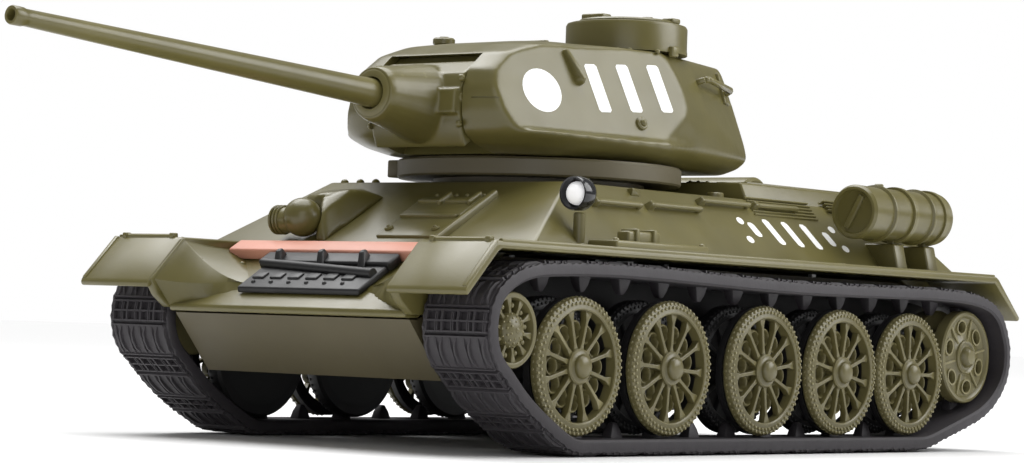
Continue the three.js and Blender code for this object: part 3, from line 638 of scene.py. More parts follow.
def roof_details():
    shapes = []
    for x in (-30.5, -25.8, -21.2):
        shapes.append(dome("z", 0.95, 0.95, ROOF - 0.1, x, -50.4, 16))
    shapes.append(rod("z", 2.0, ROOF - 0.3, ROOF + 1.2, 29, 8.5, 24))
    shapes.append(rod("z", 1.6, ROOF - 0.3, ROOF + 1.6, 12, 6, 24))
    return [bm for bm in shapes if not near_ring(bm)]


def near_ring(bm):
    """Whether any of a shape is under the turning ring."""
    reach = min(math.hypot(v.co.x, v.co.y - RING_Y) for v in bm.verts)
    return reach < 35.5 and max(v.co.z for v in bm.verts) > 57.9


def gusset():
    """Left web that sweeps from the flap's inner edge down onto the bow plate."""
    rings = []
    for k in range(11):
        t = k / 10
        fade = (1 - t) ** 1.9
        x = 33.6 - 19.4 * t
        back, tip, foot = -77 - 15.2 * t, -97.6 + 4.4 * t, -106.6 + 12.6 * min(1, 1.5 * t)
        low = -101.3 + 6.4 * t
        lift = 42.1 - glacis_z(-97.6)
        toe = 33 - glacis_z(-106.6)
        ring = [
            (back, glacis_z(back) - 0.4), (back - 3 * (1 - t) - 0.3, glacis_z(back - 3) + 0.25),
            (tip, glacis_z(tip) + 0.15 + lift * fade), (foot, glacis_z(foot) + 0.1 + toe * fade),
            (low, glacis_z(low) - 0.6),
        ]
        rings.append([Vector((x, y, z)) for y, z in ring])
    return softened(skin(rings), 0.25, 2)


def tow_hooks():
    shapes = []
    for x in (28, -28):
        s = along(-95.1)
        shapes.append(block(x - 1.3, x + 1.3, s - 2.4, s + 2.4, -1, 1.6, 0.5))
        shapes.append(rod("x", 0.8, x - 1.5, x + 1.5, s + 1.2, 2.1, 18))
        shapes.append(dome("z", 0.8, 0.8, 0, x - 1.4 * (1 if x > 0 else -1), along(-86)))
    return [on_glacis(bm) for bm in shapes]


def build_hull():
    shell = combined(
        softened(superstructure(0), 0.6), [superstructure(1.8), rod("z", 25.4, 40, 70, 0, RING_Y, 64)])
    shapes = [shell, bow_block(), *both(fender()), *engine_deck(), *rear_details(), *hatch()]
    shapes += [*gun_port(), *ball_mount(), *tow_hooks(), *roof_details(), *both(gusset())]
    rails = joined(side_rails())
    shapes += both(rails)
    shapes += [fender_bins(1), mirrored(fender_bins(-1))]
    for y in (54.5, 68.4):
        shapes += both(drum_bracket(y))
    make("hull_shell", joined(shapes), "hull", OLIVE, ["hull_upper_shell"])


def build_bow_fittings():
    strip = block(-31.8, 31.8, along(-84.0), along(-80.2), 0.05, 2.6, 0.4)
    make("nose_strip", on_glacis(strip), "hull", SALMON, ["bow_strip"])
    s = along
    pads = hull_of([
        Vector((x, y, z)) for x in (-17, 17)
        for y, z in ((s(-97), 0.2), (s(-84.6), 0.2), (s(-84.6), 1.4), (s(-89), 1.7), (s(-96.7), 1.5))
    ])
    shapes = [softened(pads, 0.4)]
    shapes.append(block(-19, 17.6, s(-88.2), s(-84.5), 0.3, 2.5, 0.5))
    for x in (-14.5, -2.5, 9):
        horn = hull_of([
            (0, 1.2, 1.2), (1.9, 1.2, 1.2), (1.9, -4.6, 0.9), (0, -4.6, 0.9),
            (0.3, 0.4, 3.9), (1.6, 0.4, 3.9),
            (1.6, -1.0, 4.1), (0.3, -1.0, 4.1),
        ])
        slant = tilted((x, s(-86.6), 0.3), math.radians(18), "Z")
        shapes.append(moved(softened(horn, 0.4), slant))
    bar = [Vector((-17 + t * 33.5, s(-88.4) - t * 3.6, 2.0)) for t in (0, 0.33, 0.66, 1)]
    shapes.append(tube(bar, 1.1, 14))
    for x in range(-14, 16, 5):
        shapes.append(dome("z", 0.5, 0.4, 1.6, x, s(-94.8)))
        shapes.append(block(x - 1.6, x + 1.6, s(-93.6), s(-91.6), 1.3, 2.0, 0.3))
    links = joined([on_glacis(bm) for bm in shapes])
    make("spare_track", links, "hull", BLACK, ["spare_track_links"])


def tube(path, r, steps=12):
    """A round bar along a path of points, with closed ends."""
    rings = []
    for i, p in enumerate(path):
        ahead = path[min(i + 1, len(path) - 1)]
        behind = path[max(i - 1, 0)]
        direction = (ahead - behind).normalized()
        side = direction.cross(Vector((0, 0, 1))).normalized()
        up = side.cross(direction)
        ring = []
        for a in arc_angles(steps):
            ring.append(p + side * (r * math.cos(a)) + up * (r * math.sin(a)))
        rings.append(ring)
    return skin(rings)


def build_shade_skins():
    """Black skins on the tub's side walls, behind the wheels: painted shade, dark sheets standing for the
    deep shade there.
    """
    outline = [(-93, 26.4), (-86.5, 15), (88.5, 15), (94, 22), (94.4, 30), (91, 38.8), (-72.5, 38.8)]
    for name, side in SIDES.items():
        shade_plate = softened(prism("x", outline, 32.3, 32.95), 0.2, 2)
        shade_plate = combined(shade_plate, [rod("x", 2.6, 31, 35, 86.1, 22.4, 32, 0.01)])
        if side < 0:
            shade_plate = mirrored(shade_plate)
        # These dark sheets are painted shade on the walls behind the wheels.
        make(f"side_shade_skin_{name}", shade_plate, "hull", BLACK)


def build_lamp():
    x, y, z = 43.6, -60, 53.4
    housing = turned("y", [
        (0, y + 2.4), (1.8, y + 2.3), (3.0, y + 1.6), (3.55, y + 0.5), (3.6, y - 2.0), (3.4, y - 2.6),
        (3.05, y - 2.55), (2.9, y - 2.0), (2.85, y - 0.2), (0, y - 0.2),
    ], x, z, 48)
    make("headlamp_shell", housing, "hull", GLOSS, ["headlamp_housing"])
    lens = turned("y", [
        (0, y - 2.75), (0.9, y - 2.68), (1.7, y - 2.4), (2.3, y - 1.8), (2.45, y - 1.2), (2.45, y - 0.5),
        (0, y - 0.5),
    ], x, z, 40)
    # The lens material carries a faint painted glow.
    make("headlamp_lens", lens, "hull", LENS_PAINTED_GLOW, ["headlamp_led"])


DRUM_AXIS = (46.3, 55.1)         # x and z of the left fuel drum


def build_drums():
    y0, y1, r = 39.2, 74.2, 6.3
    for name, side in SIDES.items():
        profile = [(0, y0 + 0.9), (r - 1.5, y0 + 0.9), (r - 1.1, y0), (r - 0.5, y0 + 0.1), (r, y0 + 0.8)]
        for centre in (y0 + 9, y0 + 17.5, y0 + 26):
            for step, rise in ((-0.75, 0), (-0.4, 0.34), (0, 0.42), (0.4, 0.34), (0.75, 0)):
                profile.append((r + rise - 0.25 * (rise == 0), centre + step))
        profile += [(r, y1 - 0.8), (r - 0.5, y1 - 0.1), (r - 1.1, y1), (r - 1.5, y1 - 0.9), (0, y1 - 0.9)]
        profile = [(min(q, r + 0.4), t) for q, t in profile]
        shapes = [turned("y", profile, *DRUM_AXIS, 56)]
        for y in (y0 + 0.7, y1 - 0.7):
            bar = block(-0.7, 0.7, -0.55, 0.55, -4.2, 4.2, 0.25)
            moved(bar, tilted(place("y", *DRUM_AXIS, y), math.radians(28), "Y"))
            shapes.append(bar)
        strap = [
            (r + 0.1, -0.9), (r + 0.35, -0.8), (r + 0.35, 0.8), (r + 0.1, 0.9),
            (r - 0.5, 0.9), (r - 0.5, -0.9),
        ]
        for y in (56.8, 70.7):
            band = [(q, y + t) for q, t in strap]
            shapes.append(turned("y", band, *DRUM_AXIS, 56, whole=True))
            shapes.append(block(45.4, 47.2, y - 1.1, y + 1.1, 47.6, 49.6, 0.3))
        shapes.append(rod("z", 1.1, 60.9, 62.1, DRUM_AXIS[0], 50, 20))
        drum = joined(shapes)
        if side < 0:
            drum = mirrored(drum)
        make(f"drum_{name}", drum, "hull", OLIVE, [f"fuel_drum_{name}"])


# ---------- wheels, made on the axle line and then moved to their axle ----------
def studs(r, x, count, size, start=0.0):
    return spun(dome("x", size, size * 1.1, x, 0, r, 7, 2), "x", count, 0, 0, start)


OUTER_RIM = (48.2, 50.6)         # from the inner to the outer face of each rim
INNER_RIM = (38.2, 42.2)


def wheel_rim(x0, x1, r=WHEEL_R):
    """The tyre of a road wheel, rounded outside with a raised inner lip."""
    profile = [
        (r - 2.75, x0), (r - 0.6, x0), (r, x0 + 0.6), (r, x1 - 1.0), (r - 0.25, x1 - 0.5),
        (r - 0.9, x1 - 0.2), (r - 1.7, x1 - 0.15), (r - 2.1, x1), (r - 2.45, x1 + 0.05),
        (r - 2.7, x1 - 0.15), (r - 2.75, x1 - 0.6),
    ]
    return turned("x", profile, 0, 0, 72, whole=True)


def tread_studs(x1, r=WHEEL_R):
    """Two staggered rows of studs on the face and one row on the running edge."""
    shapes = studs(r - 1.3, x1 - 0.2, 60, 0.4)
    shapes += studs(r - 0.55, x1 - 0.42, 60, 0.4, math.radians(3))
    edge = dome("z", 0.36, 0.22, r - 0.05, 0, 0, 7, 2)
    shifted(edge, x=x1 - 1.3)
    shapes += spun(edge, "x", 60)
    return shapes


def spoke(r0, r1, root, neck, flare, x0, x1):
    """One spoke, thin along its length and flared where it meets the rim."""
    outline = [
        (-root, r0), (-neck, r0 + 1.6), (-neck, r1 - 1.9), (-flare, r1 - 0.1), (-flare, r1 + 0.3),
        (flare, r1 + 0.3), (flare, r1 - 0.1), (neck, r1 - 1.9), (neck, r0 + 1.6), (root, r0),
    ]
    return softened(prism("x", outline, x0, x1), 0.16, 2)


def outer_wheel():
    shapes = [wheel_rim(*OUTER_RIM), *tread_studs(OUTER_RIM[1])]
    shapes += spun(spoke(3.2, 11.4, 0.7, 0.4, 1.05, 48.3, 49.9), "x", 12)
    rings = []
    web = [(2.05, 46.9), (2.05, 48.5), (1.85, 48.75), (1.65, 48.75), (1.45, 48.4), (1.45, 46.9)]
    rings.append(turned("x", web, 0, 7.4, 20, whole=True))
    rings.append(block(46.9, 48.0, -1.3, 1.3, 2.8, 5.4, 0.2, 2))
    shapes += spun(joined(rings), "x", 12, 0, 0, math.radians(15))
    hub = [
        (1.9, 42.7), (3.4, 42.7), (3.4, 49.6), (3.65, 49.9), (3.65, 50.3), (3.4, 50.55), (2.75, 50.6),
        (2.5, 50.8), (2.45, 51.2), (2.2, 51.7), (1.6, 52.05), (0.8, 52.2), (0, 52.25), (0, 48.6),
        (1.9, 48.6),
    ]
    shapes.append(turned("x", hub, 0, 0, 40))
    return joined(shapes)


def inner_wheel():
    shapes = [wheel_rim(*INNER_RIM), *tread_studs(INNER_RIM[1])]
    band = [(11.6, 46.2), (13.6, 46.2), (14.05, 46.7), (14.05, 48.15), (11.6, 48.15)]
    shapes.append(turned("x", band, 0, 0, 72, whole=True))
    disc = [
        (1.9, 38.2), (11.6, 38.2), (11.6, 40.6), (8, 40.2), (5.4, 40.6), (5.2, 42.0), (1.9, 42.2)]
    shapes.append(turned("x", disc, 0, 0, 48, whole=True))
    shapes += spun(block(39.8, 41.4, -0.5, 0.5, 4.8, 11.8, 0.2, 1), "x", 12)
    return joined(shapes)


def idler_wheel():
    r = 7.6
    rim = [
        (r - 1.25, 46.4), (r - 0.3, 46.4), (r, 46.7), (r, 49.6), (r - 0.25, 49.95), (r - 0.7, 50.0),
        (r - 1.1, 49.9), (r - 1.25, 49.6),
    ]
    shapes = [turned("x", rim, 0, 0, 56, whole=True)]
    back = [(1.9, 38.2), (r - 0.3, 38.2), (r, 38.5), (r, 41.9), (r - 0.3, 42.2), (3.3, 42.2), (1.9, 42.2)]
    shapes.append(turned("x", back, 0, 0, 48, whole=True))
    shapes += spun(spoke(2.6, 6.4, 0.55, 0.34, 0.75, 47.2, 49.5), "x", 10)
    hub = [
        (1.9, 42.0), (3.0, 42.0), (3.0, 47.4), (3.5, 47.6), (3.6, 49.2), (3.2, 50.0),
        (2.4, 50.6), (1.3, 51.0), (0, 51.15), (0, 48.5), (1.9, 48.5),
    ]
    shapes.append(turned("x", hub, 0, 0, 36))
    shapes.append(dome("x", 0.75, 0.45, 50.9, 0, 0, 14))
    shapes += studs(1.7, 50.75, 7, 0.3)
    shapes += studs(2.55, 50.4, 12, 0.3, 0.2)
    shapes += studs(3.25, 49.7, 14, 0.3)
    shapes += spun(dome("x", 0.6, 0.5, 48.6, 0, 5.0, 10), "x", 10, 0, 0, math.radians(18))
    return joined(shapes)


def sprocket_wheel():
    r = 11.1
    face = [
        (1.8, 46.6), (r - 0.3, 46.6), (r, 46.9), (r, 49.5), (r - 0.3, 49.9), (r - 0.9, 50.0),
        (r - 1.3, 49.8), (r - 1.7, 49.2), (7.4, 48.9), (4.6, 49.2), (4.2, 49.5), (1.8, 49.5),
    ]
    disc = turned("x", face, 0, 0, 64, whole=True)
    holes = []
    lips = []
    for i in range(6):
        turn = Matrix.Rotation(math.pi * i / 3, 4, "X")
        oval = [(1.75 * math.cos(a), 7.3 + 1.45 * math.sin(a)) for a in arc_angles(24)]
        holes.append(moved(prism("x", oval, 45, 52), turn))
        for a in [(2.15, 1.85, 48.4, 49.35)]:
            wide, high, x0, x1 = a
            outer = [(wide * math.cos(b), 7.3 + high * math.sin(b)) for b in arc_angles(28)]
            inner = [(1.72 * math.cos(b), 7.3 + 1.42 * math.sin(b)) for b in arc_angles(28)]
            rings = []
            for line, x in ((outer, x0), (outer, x1), (inner, x1), (inner, x0)):
                rings.append([Vector((x, u, v)) for u, v in line])
            lips.append(moved(skin(rings, closed=True), turn))
    shapes = [combined(disc, [joined(holes)]), *lips]
    back = [(1.8, 38.2), (r - 0.3, 38.2), (r, 38.5), (r, 41.9), (r - 0.3, 42.2), (1.8, 42.2)]
    shapes.append(turned("x", back, 0, 0, 48, whole=True))
    shapes.append(turned("x", [(1.8, 42), (3.8, 42), (3.8, 46.8), (1.8, 46.8)], 0, 0, 32, whole=True))
    shapes += spun(block(48.6, 49.5, -0.3, 0.3, 4.2, 9.6, 0.15, 1), "x", 6, 0, 0, math.pi / 6)
    shapes += spun(rod("x", 1.1, 42, 46.8, 0, 6.3, 16), "x", 6, 0, 0, math.pi / 6)
    shapes += spun(dome("x", 0.42, 0.4, 49.2, 0, 9.0, 9, 2), "x", 6, 0, 0, math.pi / 6)
    cap = [
        (0, 49), (4.1, 49), (4.1, 49.9), (3.8, 50.2), (3.4, 50.1), (3.1, 49.8), (2.6, 49.9), (2.3, 50.8),
        (1.6, 51.4), (0, 51.55),
    ]
    shapes.append(turned("x", cap, 0, 0, 40))
    return joined(shapes)


WHEEL_Y = [-66.7, -35.1, 0, 30.7, 60.2]


def build_wheels():
    kinds = {"road": outer_wheel(), "inner": inner_wheel(), "idler": idler_wheel(), "drive": sprocket_wheel()}
    for name, side in SIDES.items():
        def fitted(kind, y, z, turn=0.0):
            shape = copied(kinds[kind], tilted((0, y, z), turn, "X"))
            return shape if side > 0 else mirrored(shape)
        for i, y in enumerate(WHEEL_Y, 1):
            body = f"wheel_{name}_{i}"
            turn = math.radians(11 * i + 4)
            make(f"tyre_{name}_{i}", fitted("road", y, 18, turn), body, WHEEL,
                 [f"road_wheel_{name}_{i}"])
            make(f"back_tyre_{name}_{i}", fitted("inner", y, 18), body, BLACK,
                 [f"inner_wheel_{name}_{i}"])
        make(f"front_wheel_{name}", fitted("idler", -88.1, 24.8, 0.15), f"idler_{name}", WHEEL,
             [f"idler_{name}"])
        make(f"drive_wheel_{name}", fitted("drive", 86.1, 22.4, 0.2), f"sprocket_{name}", WHEEL,
             [f"sprocket_{name}"])


# ---------- tracks ----------
BELT_LINE = [
    (-68, 0), (-72, 0.6), (-80.8, 5.0), (-87.6, 9.3), (-93.2, 14.1), (-96.9, 17.4), (-98.8, 20.7),
    (-99.6, 24.5), (-99.4, 27.8), (-98.5, 30.6), (-96.8, 33.2), (-93.7, 35.6), (-90.4, 37.2), (-86.6, 38.3),
    (-81.8, 38.9), (-63.4, 39.6), (-43.4, 39.5), (-26.9, 39.1), (7.6, 38.4), (43.2, 38.6), (68.6, 38.8),
    (85.3, 38.1), (93.6, 36.3), (98.2, 33.4), (101.1, 29.2), (102.7, 24.9), (102.3, 18.8), (100, 14.5),
    (95.4, 10.2), (89.3, 7.0), (80.6, 4.4), (73.4, 2.4), (67, 0.7), (62, 0), (30, 0), (-30, 0),
]
LINKS = 32
BELT_DEPTH = 3.3


def belt_points():
    """Dense points round the belt's outer line, on a centripetal Catmull-Rom curve."""
    line = [Vector(p) for p in BELT_LINE]
    count = len(line)
    dense = []
    for i in range(count):
        p = [line[(i + k - 1) % count] for k in range(4)]
        t = [0.0]
        for k in range(3):
            t.append(t[-1] + math.sqrt((p[k + 1] - p[k]).length))
        steps = max(4, int((p[2] - p[1]).length / 0.5))
        for s in range(steps):
            x = t[1] + (t[2] - t[1]) * s / steps
            a = [p[k] * ((t[k + 1] - x) / (t[k + 1] - t[k])) + p[k + 1] * ((x - t[k]) / (t[k + 1] - t[k]))
                 for k in range(3)]
            b = [a[k] * ((t[k + 2] - x) / (t[k + 2] - t[k])) + a[k + 1] * ((x - t[k]) / (t[k + 2] - t[k]))
                 for k in range(2)]
            point = b[0] * ((t[2] - x) / (t[2] - t[1])) + b[1] * ((x - t[1]) / (t[2] - t[1]))
            dense.append(Vector((point.x, max(point.y, 0.0))))
    return dense


class Belt:
    """Finds places by their distance round the belt, depth inwards and x."""

    def __init__(self):
        self.points = belt_points()
        self.marks = [0.0]
        for i, p in enumerate(self.points):
            self.marks.append(self.marks[-1] + (self.points[(i + 1) % len(self.points)] - p).length)
        self.length = self.marks[-1]

    def at(self, s, depth, x):
        s = s % self.length
        low, high = 0, len(self.points)
        while high - low > 1:
            mid = (low + high) // 2
            if self.marks[mid] <= s:
                low = mid
            else:
                high = mid
        a = self.points[low]
        b = self.points[(low + 1) % len(self.points)]
        share = (s - self.marks[low]) / max(self.marks[low + 1] - self.marks[low], 1e-9)
        p = a.lerp(b, share)
        ahead = self.points[(low + 3) % len(self.points)] - self.points[low - 3]
        d = ahead.normalized()
        return Vector((x, p.x + d.y * depth, p.y - d.x * depth))


def belt_block(belt, s0, s1, x0, x1, top, bottom, slope=0.35, steps=2):
    """A raised block on the belt with sloping sides: top and bottom are depths."""
    rings = []
    for k in range(steps + 1):
        s = s0 + (s1 - s0) * k / steps
        shift = slope if k == 0 else (-slope if k == steps else 0.0)
        rings.append([
            belt.at(s, bottom, x0), belt.at(s, bottom, x1),
            belt.at(s + shift, top, x1 - slope), belt.at(s + shift, top, x0 + slope),
        ])
    return skin(rings)


def belt_band(belt):
    """The belt's own body, with a scalloped outer edge and rounded corners."""
    x0, x1 = 35.2, 53.25
    rings = []
    count = LINKS * 12
    pitch = belt.length / count
    for i in range(count):
        s = i * pitch
        wave = (0.34, 0.08, 0.42, 0.2)[i % 4]
        rings.append([
            belt.at(s, 1.2 + wave, x0), belt.at(s, 0.55 + wave, x0 + 0.35), belt.at(s, 0.55 + wave, x0 + 0.9),
            belt.at(s, 1.05, x0 + 1.1), belt.at(s, 1.05, x1 - 1.1), belt.at(s, 0.5 + wave, x1 - 0.9),
            belt.at(s, 0.5 + wave, x1 - 0.35), belt.at(s, 1.1 + wave, x1 - wave * 0.3), belt.at(s, 2.8, x1),
            belt.at(s, BELT_DEPTH, x1 - 0.5), belt.at(s, BELT_DEPTH, x0 + 0.5), belt.at(s, 2.8, x0),
        ])
    return skin(rings, closed=True)


def belt_link(belt, s, pitch):
    """The raised pattern of one link: a hinge band with sockets and slots, and a ribbed pad."""
    shapes = []
    x0, x1 = 36.1, 52.35
    width = (x1 - x0) / 4
    band = 0.36 * pitch
    for a, b in ((0.0, 0.12), (0.44, 0.56), (0.88, 1.0)):
        shapes.append(belt_block(belt, s + band * a, s + band * b, x0, x1, 0.25, 1.3, 0.12))
    for k in range(5):
        x = x0 + width * k
        for dx in (-0.72, 0.32):
            u0, u1 = max(x + dx, x0), min(x + dx + 0.4, x1)
            if u1 - u0 > 0.15:
                shapes.append(belt_block(belt, s, s + band, u0, u1, 0.3, 1.3, 0.1))
    for k in range(4):
        x = x0 + width * (k + 0.5)
        for dx in (-1.35, 0.95):
            shapes.append(belt_block(belt, s, s + band, x + dx, x + dx + 0.4, 0.2, 1.3, 0.1))
    start, end = s + band + 0.25, s + pitch - 0.25
    shapes.append(belt_block(belt, start, end, x0, x1, 0.62, 1.4, 0.3, 3))
    ribs = 9
    for k in range(ribs):
        x = x0 + 0.9 + (x1 - x0 - 1.8) * k / (ribs - 1)
        lean = 0.55 * (1 if k % 2 else -1)
        rings = []
        for j in range(5):
            t = j / 4
            u = x + lean * math.sin(math.pi * t)
            q = start + 0.5 + (end - start - 1.0) * t
            low = 0.62 if j in (0, 4) else 0.12
            rings.append([
                belt.at(q, 0.9, u - 0.42), belt.at(q, 0.9, u + 0.42),
                belt.at(q, low, u + 0.22), belt.at(q, low, u - 0.22),
            ])
        shapes.append(skin(rings))
    shapes.append(belt_block(belt, start + 0.1, start + 0.8, x0 + 0.2, x1 - 0.2, 0.3, 0.9, 0.2))
    shapes.append(belt_block(belt, end - 0.8, end - 0.1, x0 + 0.2, x1 - 0.2, 0.05, 0.9, 0.2))
    return shapes


def belt_horn(belt, s):
    rings = []
    levels = ((BELT_DEPTH - 0.4, 2.2, 42.9, 45.7), (5.0, 1.5, 43.2, 45.4), (6.5, 0.6, 43.6, 45.0))
    for depth, half, x0, x1 in levels:
        rings.append([
            belt.at(s - half, depth, x0), belt.at(s + half, depth, x0),
            belt.at(s + half, depth, x1), belt.at(s - half, depth, x1),
        ])
    return softened(skin(rings), 0.3, 2)


def build_tracks():
    belt = Belt()
    pitch = belt.length / LINKS
    shapes = [belt_band(belt)]
    for i in range(LINKS):
        shapes += belt_link(belt, i * pitch, pitch)
        shapes.append(belt_horn(belt, (i + 0.5) * pitch))
    track = joined(shapes)
    twin = mirrored(track)
    make("tread_left", track, "hull", RUBBER, ["track_left"])
    make("tread_right", twin, "hull", RUBBER, ["track_right"])


# ---------- turret, in its own frame with the ring's axis at x = y = 0 ----------
TURRET_LEVELS = [
    (62.6, -33, 9, 14, 27.5, 19, 45.5), (64.2, -38.5, 11, 16, 31, 22, 48),
    (66.0, -41.5, 12.5, 17, 32.8, 23.5, 49.2), (67.0, -42.2, 13, 17.2, 33, 23.6, 49.4),
    (71, -43.1, 13, 18, 33.5, 23, 49.4), (76, -43, 13, 17, 33, 21.5, 49.2),
    (80, -41.3, 13, 15.5, 31.5, 19.8, 49), (84, -36.6, 12, 13, 29.5, 18, 48.6),
    (86.6, -30, 10, 11.5, 28, 16.5, 48.3), (88, -21.5, 8, 9.5, 26.5, 15.4, 48),
]
SIDE_FACES = [
    ((32, 5.2, 67.7), (1, -0.184, 0.364)),
    ((26, 15.2, 88), (1, 0.333, 0.4)),
    ((31, 14.2, 75.5), (1, 0.12, -0.06)),
]
TRUNNION = (-26.8, 71.9)
REST = math.radians(3.4)
TO_TURRET = Matrix.Translation((0, RING_Y, 0))


def level_at(z):
    """The outline numbers of the casting at a height, smoothly between the levels."""
    levels = TURRET_LEVELS
    k = max(i for i in range(len(levels) - 1) if levels[i][0] <= z or i == 0)
    a, b = levels[k], levels[k + 1]
    t = (z - a[0]) / (b[0] - a[0])
    return [p + (q - p) * t for p, q in zip(a, b)]


def outline_at(z, inset=0.0, last=90):
    """Left half outline of the casting at a height, from the front to the rear."""
    _, front, flat, cheek, widest, rear_half, rear = level_at(z)
    half = []
    for i in range(13):
        a = math.radians(-90 + min(last, 90) * i / 12)
        r = cheek - inset
        half.append((flat + r * math.cos(a), front + cheek + r * math.sin(a)))
    half += [(widest - inset, 5), (rear_half - inset, rear - 1.6), (rear_half - 1.6, rear - inset)]
    return half


def casting_body():
    heights = []
    for a, b in zip(TURRET_LEVELS, TURRET_LEVELS[1:]):
        heights += [a[0], (a[0] + b[0]) / 2]
    heights.append(TURRET_LEVELS[-1][0])
    rings = []
    for z in heights:
        half = outline_at(z)
        ring = half + [(-x, y) for x, y in reversed(half)]
        rings.append([Vector((x, y, z)) for x, y in ring])
    return skin(rings)


def block_beyond(point, normal, low):
    """Everything outside a plane and above a height."""
    turn = Vector((0, 0, 1)).rotation_difference(Vector(normal)).to_matrix().to_4x4()
    bm = bmesh.new()
    bmesh.ops.create_cube(bm, size=120)
    shifted(bm, z=60)
    moved(bm, Matrix.Translation(point) @ turn)
    geom = bm.verts[:] + bm.edges[:] + bm.faces[:]
    cut = bmesh.ops.bisect_plane(
        bm, geom=geom, dist=1e-5, plane_co=(0, 0, low), plane_no=(0, 0, -1), clear_outer=True)
    edges = [g for g in cut["geom_cut"] if isinstance(g, bmesh.types.BMEdge)]
    bmesh.ops.edgeloop_fill(bm, edges=edges)
    return tidy(bm)


def gun_arc(r, start, end, steps):
    """Points round the trunnion from one angle above level to another, towards the muzzle."""
    points = []
    for i in range(steps + 1):
        a = math.radians(start + (end - start) * i / max(steps, 1))
        points.append((-r * math.cos(a), r * math.sin(a)))
    return points


def mantlet_room():
    """The space that the mantlet sweeps through, and the open front before it."""
    highest = 15.6
    swept = gun_arc(17.1, -62, 22 + highest, 24) + gun_arc(15.05, 40.6 + highest, 40.6 + highest, 0)
    swept += gun_arc(14.1, 57, 104, 14)
    swept.append((0, 0))
    swept = [(y + TRUNNION[0], z + TRUNNION[1]) for y, z in swept]
    front = box(-12.9, 12.9, -70, TRUNNION[0] - 12.4, 50, 81.4)
    return [prism("x", swept, -12.9, 12.9), front]


def seam_groove():
    """Thin slot where the upper and lower castings meet, round each cheek."""
    outer = outline_at(73.7, -1.0)[1:12]
    inner = outline_at(73.7, 0.32)[1:12]
    return prism("z", outer + inner[::-1], 73.55, 73.85)


def build_casting():
    tools = []
    for point, normal in SIDE_FACES:
        block = block_beyond(point, Vector(normal).normalized(), 67.3)
        tools += both(block)
    body = moulded(combined(casting_body(), tools), 0.5, 24)
    body = combined(body, mantlet_room())
    body = combined(body, both(seam_groove()))
    make("turret_casting", moved(body, TO_TURRET), "turret", OLIVE,
         ["turret_upper_shell", "turret_lower_shell"], 50)


def panel_frame(point, normal):
    """Places a flat shape on a turret side face: x rearwards, y up the face, z off it."""
    z = Vector(normal).normalized()
    x = Vector((0, 1, 0))
    x = (x - z * x.dot(z)).normalized()
    y = z.cross(x)
    if y.z < 0:
        y = -y
    basis = Matrix((x, y, z)).transposed().to_4x4()
    return Matrix.Translation(point) @ basis


FRONT_PANEL = panel_frame((32, -14, 67.7), (1, -0.184, 0.364))


def on_front_panel(x, y, z):
    """A point of the turret in the frame of its front side face."""
    return FRONT_PANEL.inverted() @ Vector((x, y, z))


def side_fittings():
    """Lifting lug, port plug and rear grab handle of the left side, in the tank's frame."""
    front = FRONT_PANEL
    local = on_front_panel
    top, low = local(21.1, -38.2, 85.4), local(23.6, -36.1, 79.6)
    lug = []
    for p, half, height in ((top, 0.7, 1.0), (low, 1.15, 1.9)):
        for a in arc_angles(10):
            lug.append(Vector((p.x + half * math.cos(a), p.y + half * math.sin(a), -0.4)))
            lug.append(Vector((p.x + half * 0.6 * math.cos(a), p.y + half * 0.6 * math.sin(a), height)))
    shapes = [softened(hull_of(lug), 0.2, 2)]
    shapes.append(dome("z", 1.25, 1.9, 0, low.x, low.y - 0.2, 20, 4))
    plug = local(29.5, -20.9, 71.0)
    shapes.append(rod("z", 1.5, -0.4, 0.7, plug.x, plug.y, 28, 0.3))
    shapes.append(dome("z", 0.95, 0.8, 0.6, plug.x, plug.y, 20, 4))
    shapes = [moved(bm, front) for bm in shapes]
    rear = panel_frame((26, -4, 88), (1, 0.333, 0.4))
    back = rear.inverted()
    a, b = back @ Vector((24.6, 6.6, 82.7)), back @ Vector((19.3, 24.2, 81.4))
    path = [Vector((a.x, a.y, -0.5)), Vector((a.x + 0.3, a.y, 1.7)), Vector((a.x + 1.2, a.y, 2.3))]
    path += [Vector((b.x - 1.2, b.y, 2.3)), Vector((b.x - 0.3, b.y, 1.7)), Vector((b.x, b.y, -0.5))]
    shapes.append(moved(bar_along(path, 0.75), rear))
    plate = hull_of([Vector((b.x + u, b.y + v, h)) for h in (-0.4, 0.7)
                     for u, v in ((-2.2, -2.6), (1.6, -2.6), (-0.4, 5.2), (-1.4, 5.2))])
    shapes.append(moved(softened(plate, 0.3), rear))
    return shapes


def bar_along(path, r):
    """A bent round bar made of short rods with balls at the bends."""
    shapes = []
    for a, b in zip(path, path[1:]):
        turn = Vector((0, 0, 1)).rotation_difference(b - a).to_matrix().to_4x4()
        length = (b - a).length
        bm = turned("z", [(0, -r * 0.4), (r * 0.8, 0), (r, r * 0.3), (r, length - r * 0.3), (r * 0.8, length),
                          (0, length + r * 0.4)], 0, 0, 14)
        shapes.append(moved(bm, Matrix.Translation(a) @ turn))
    return joined(shapes)


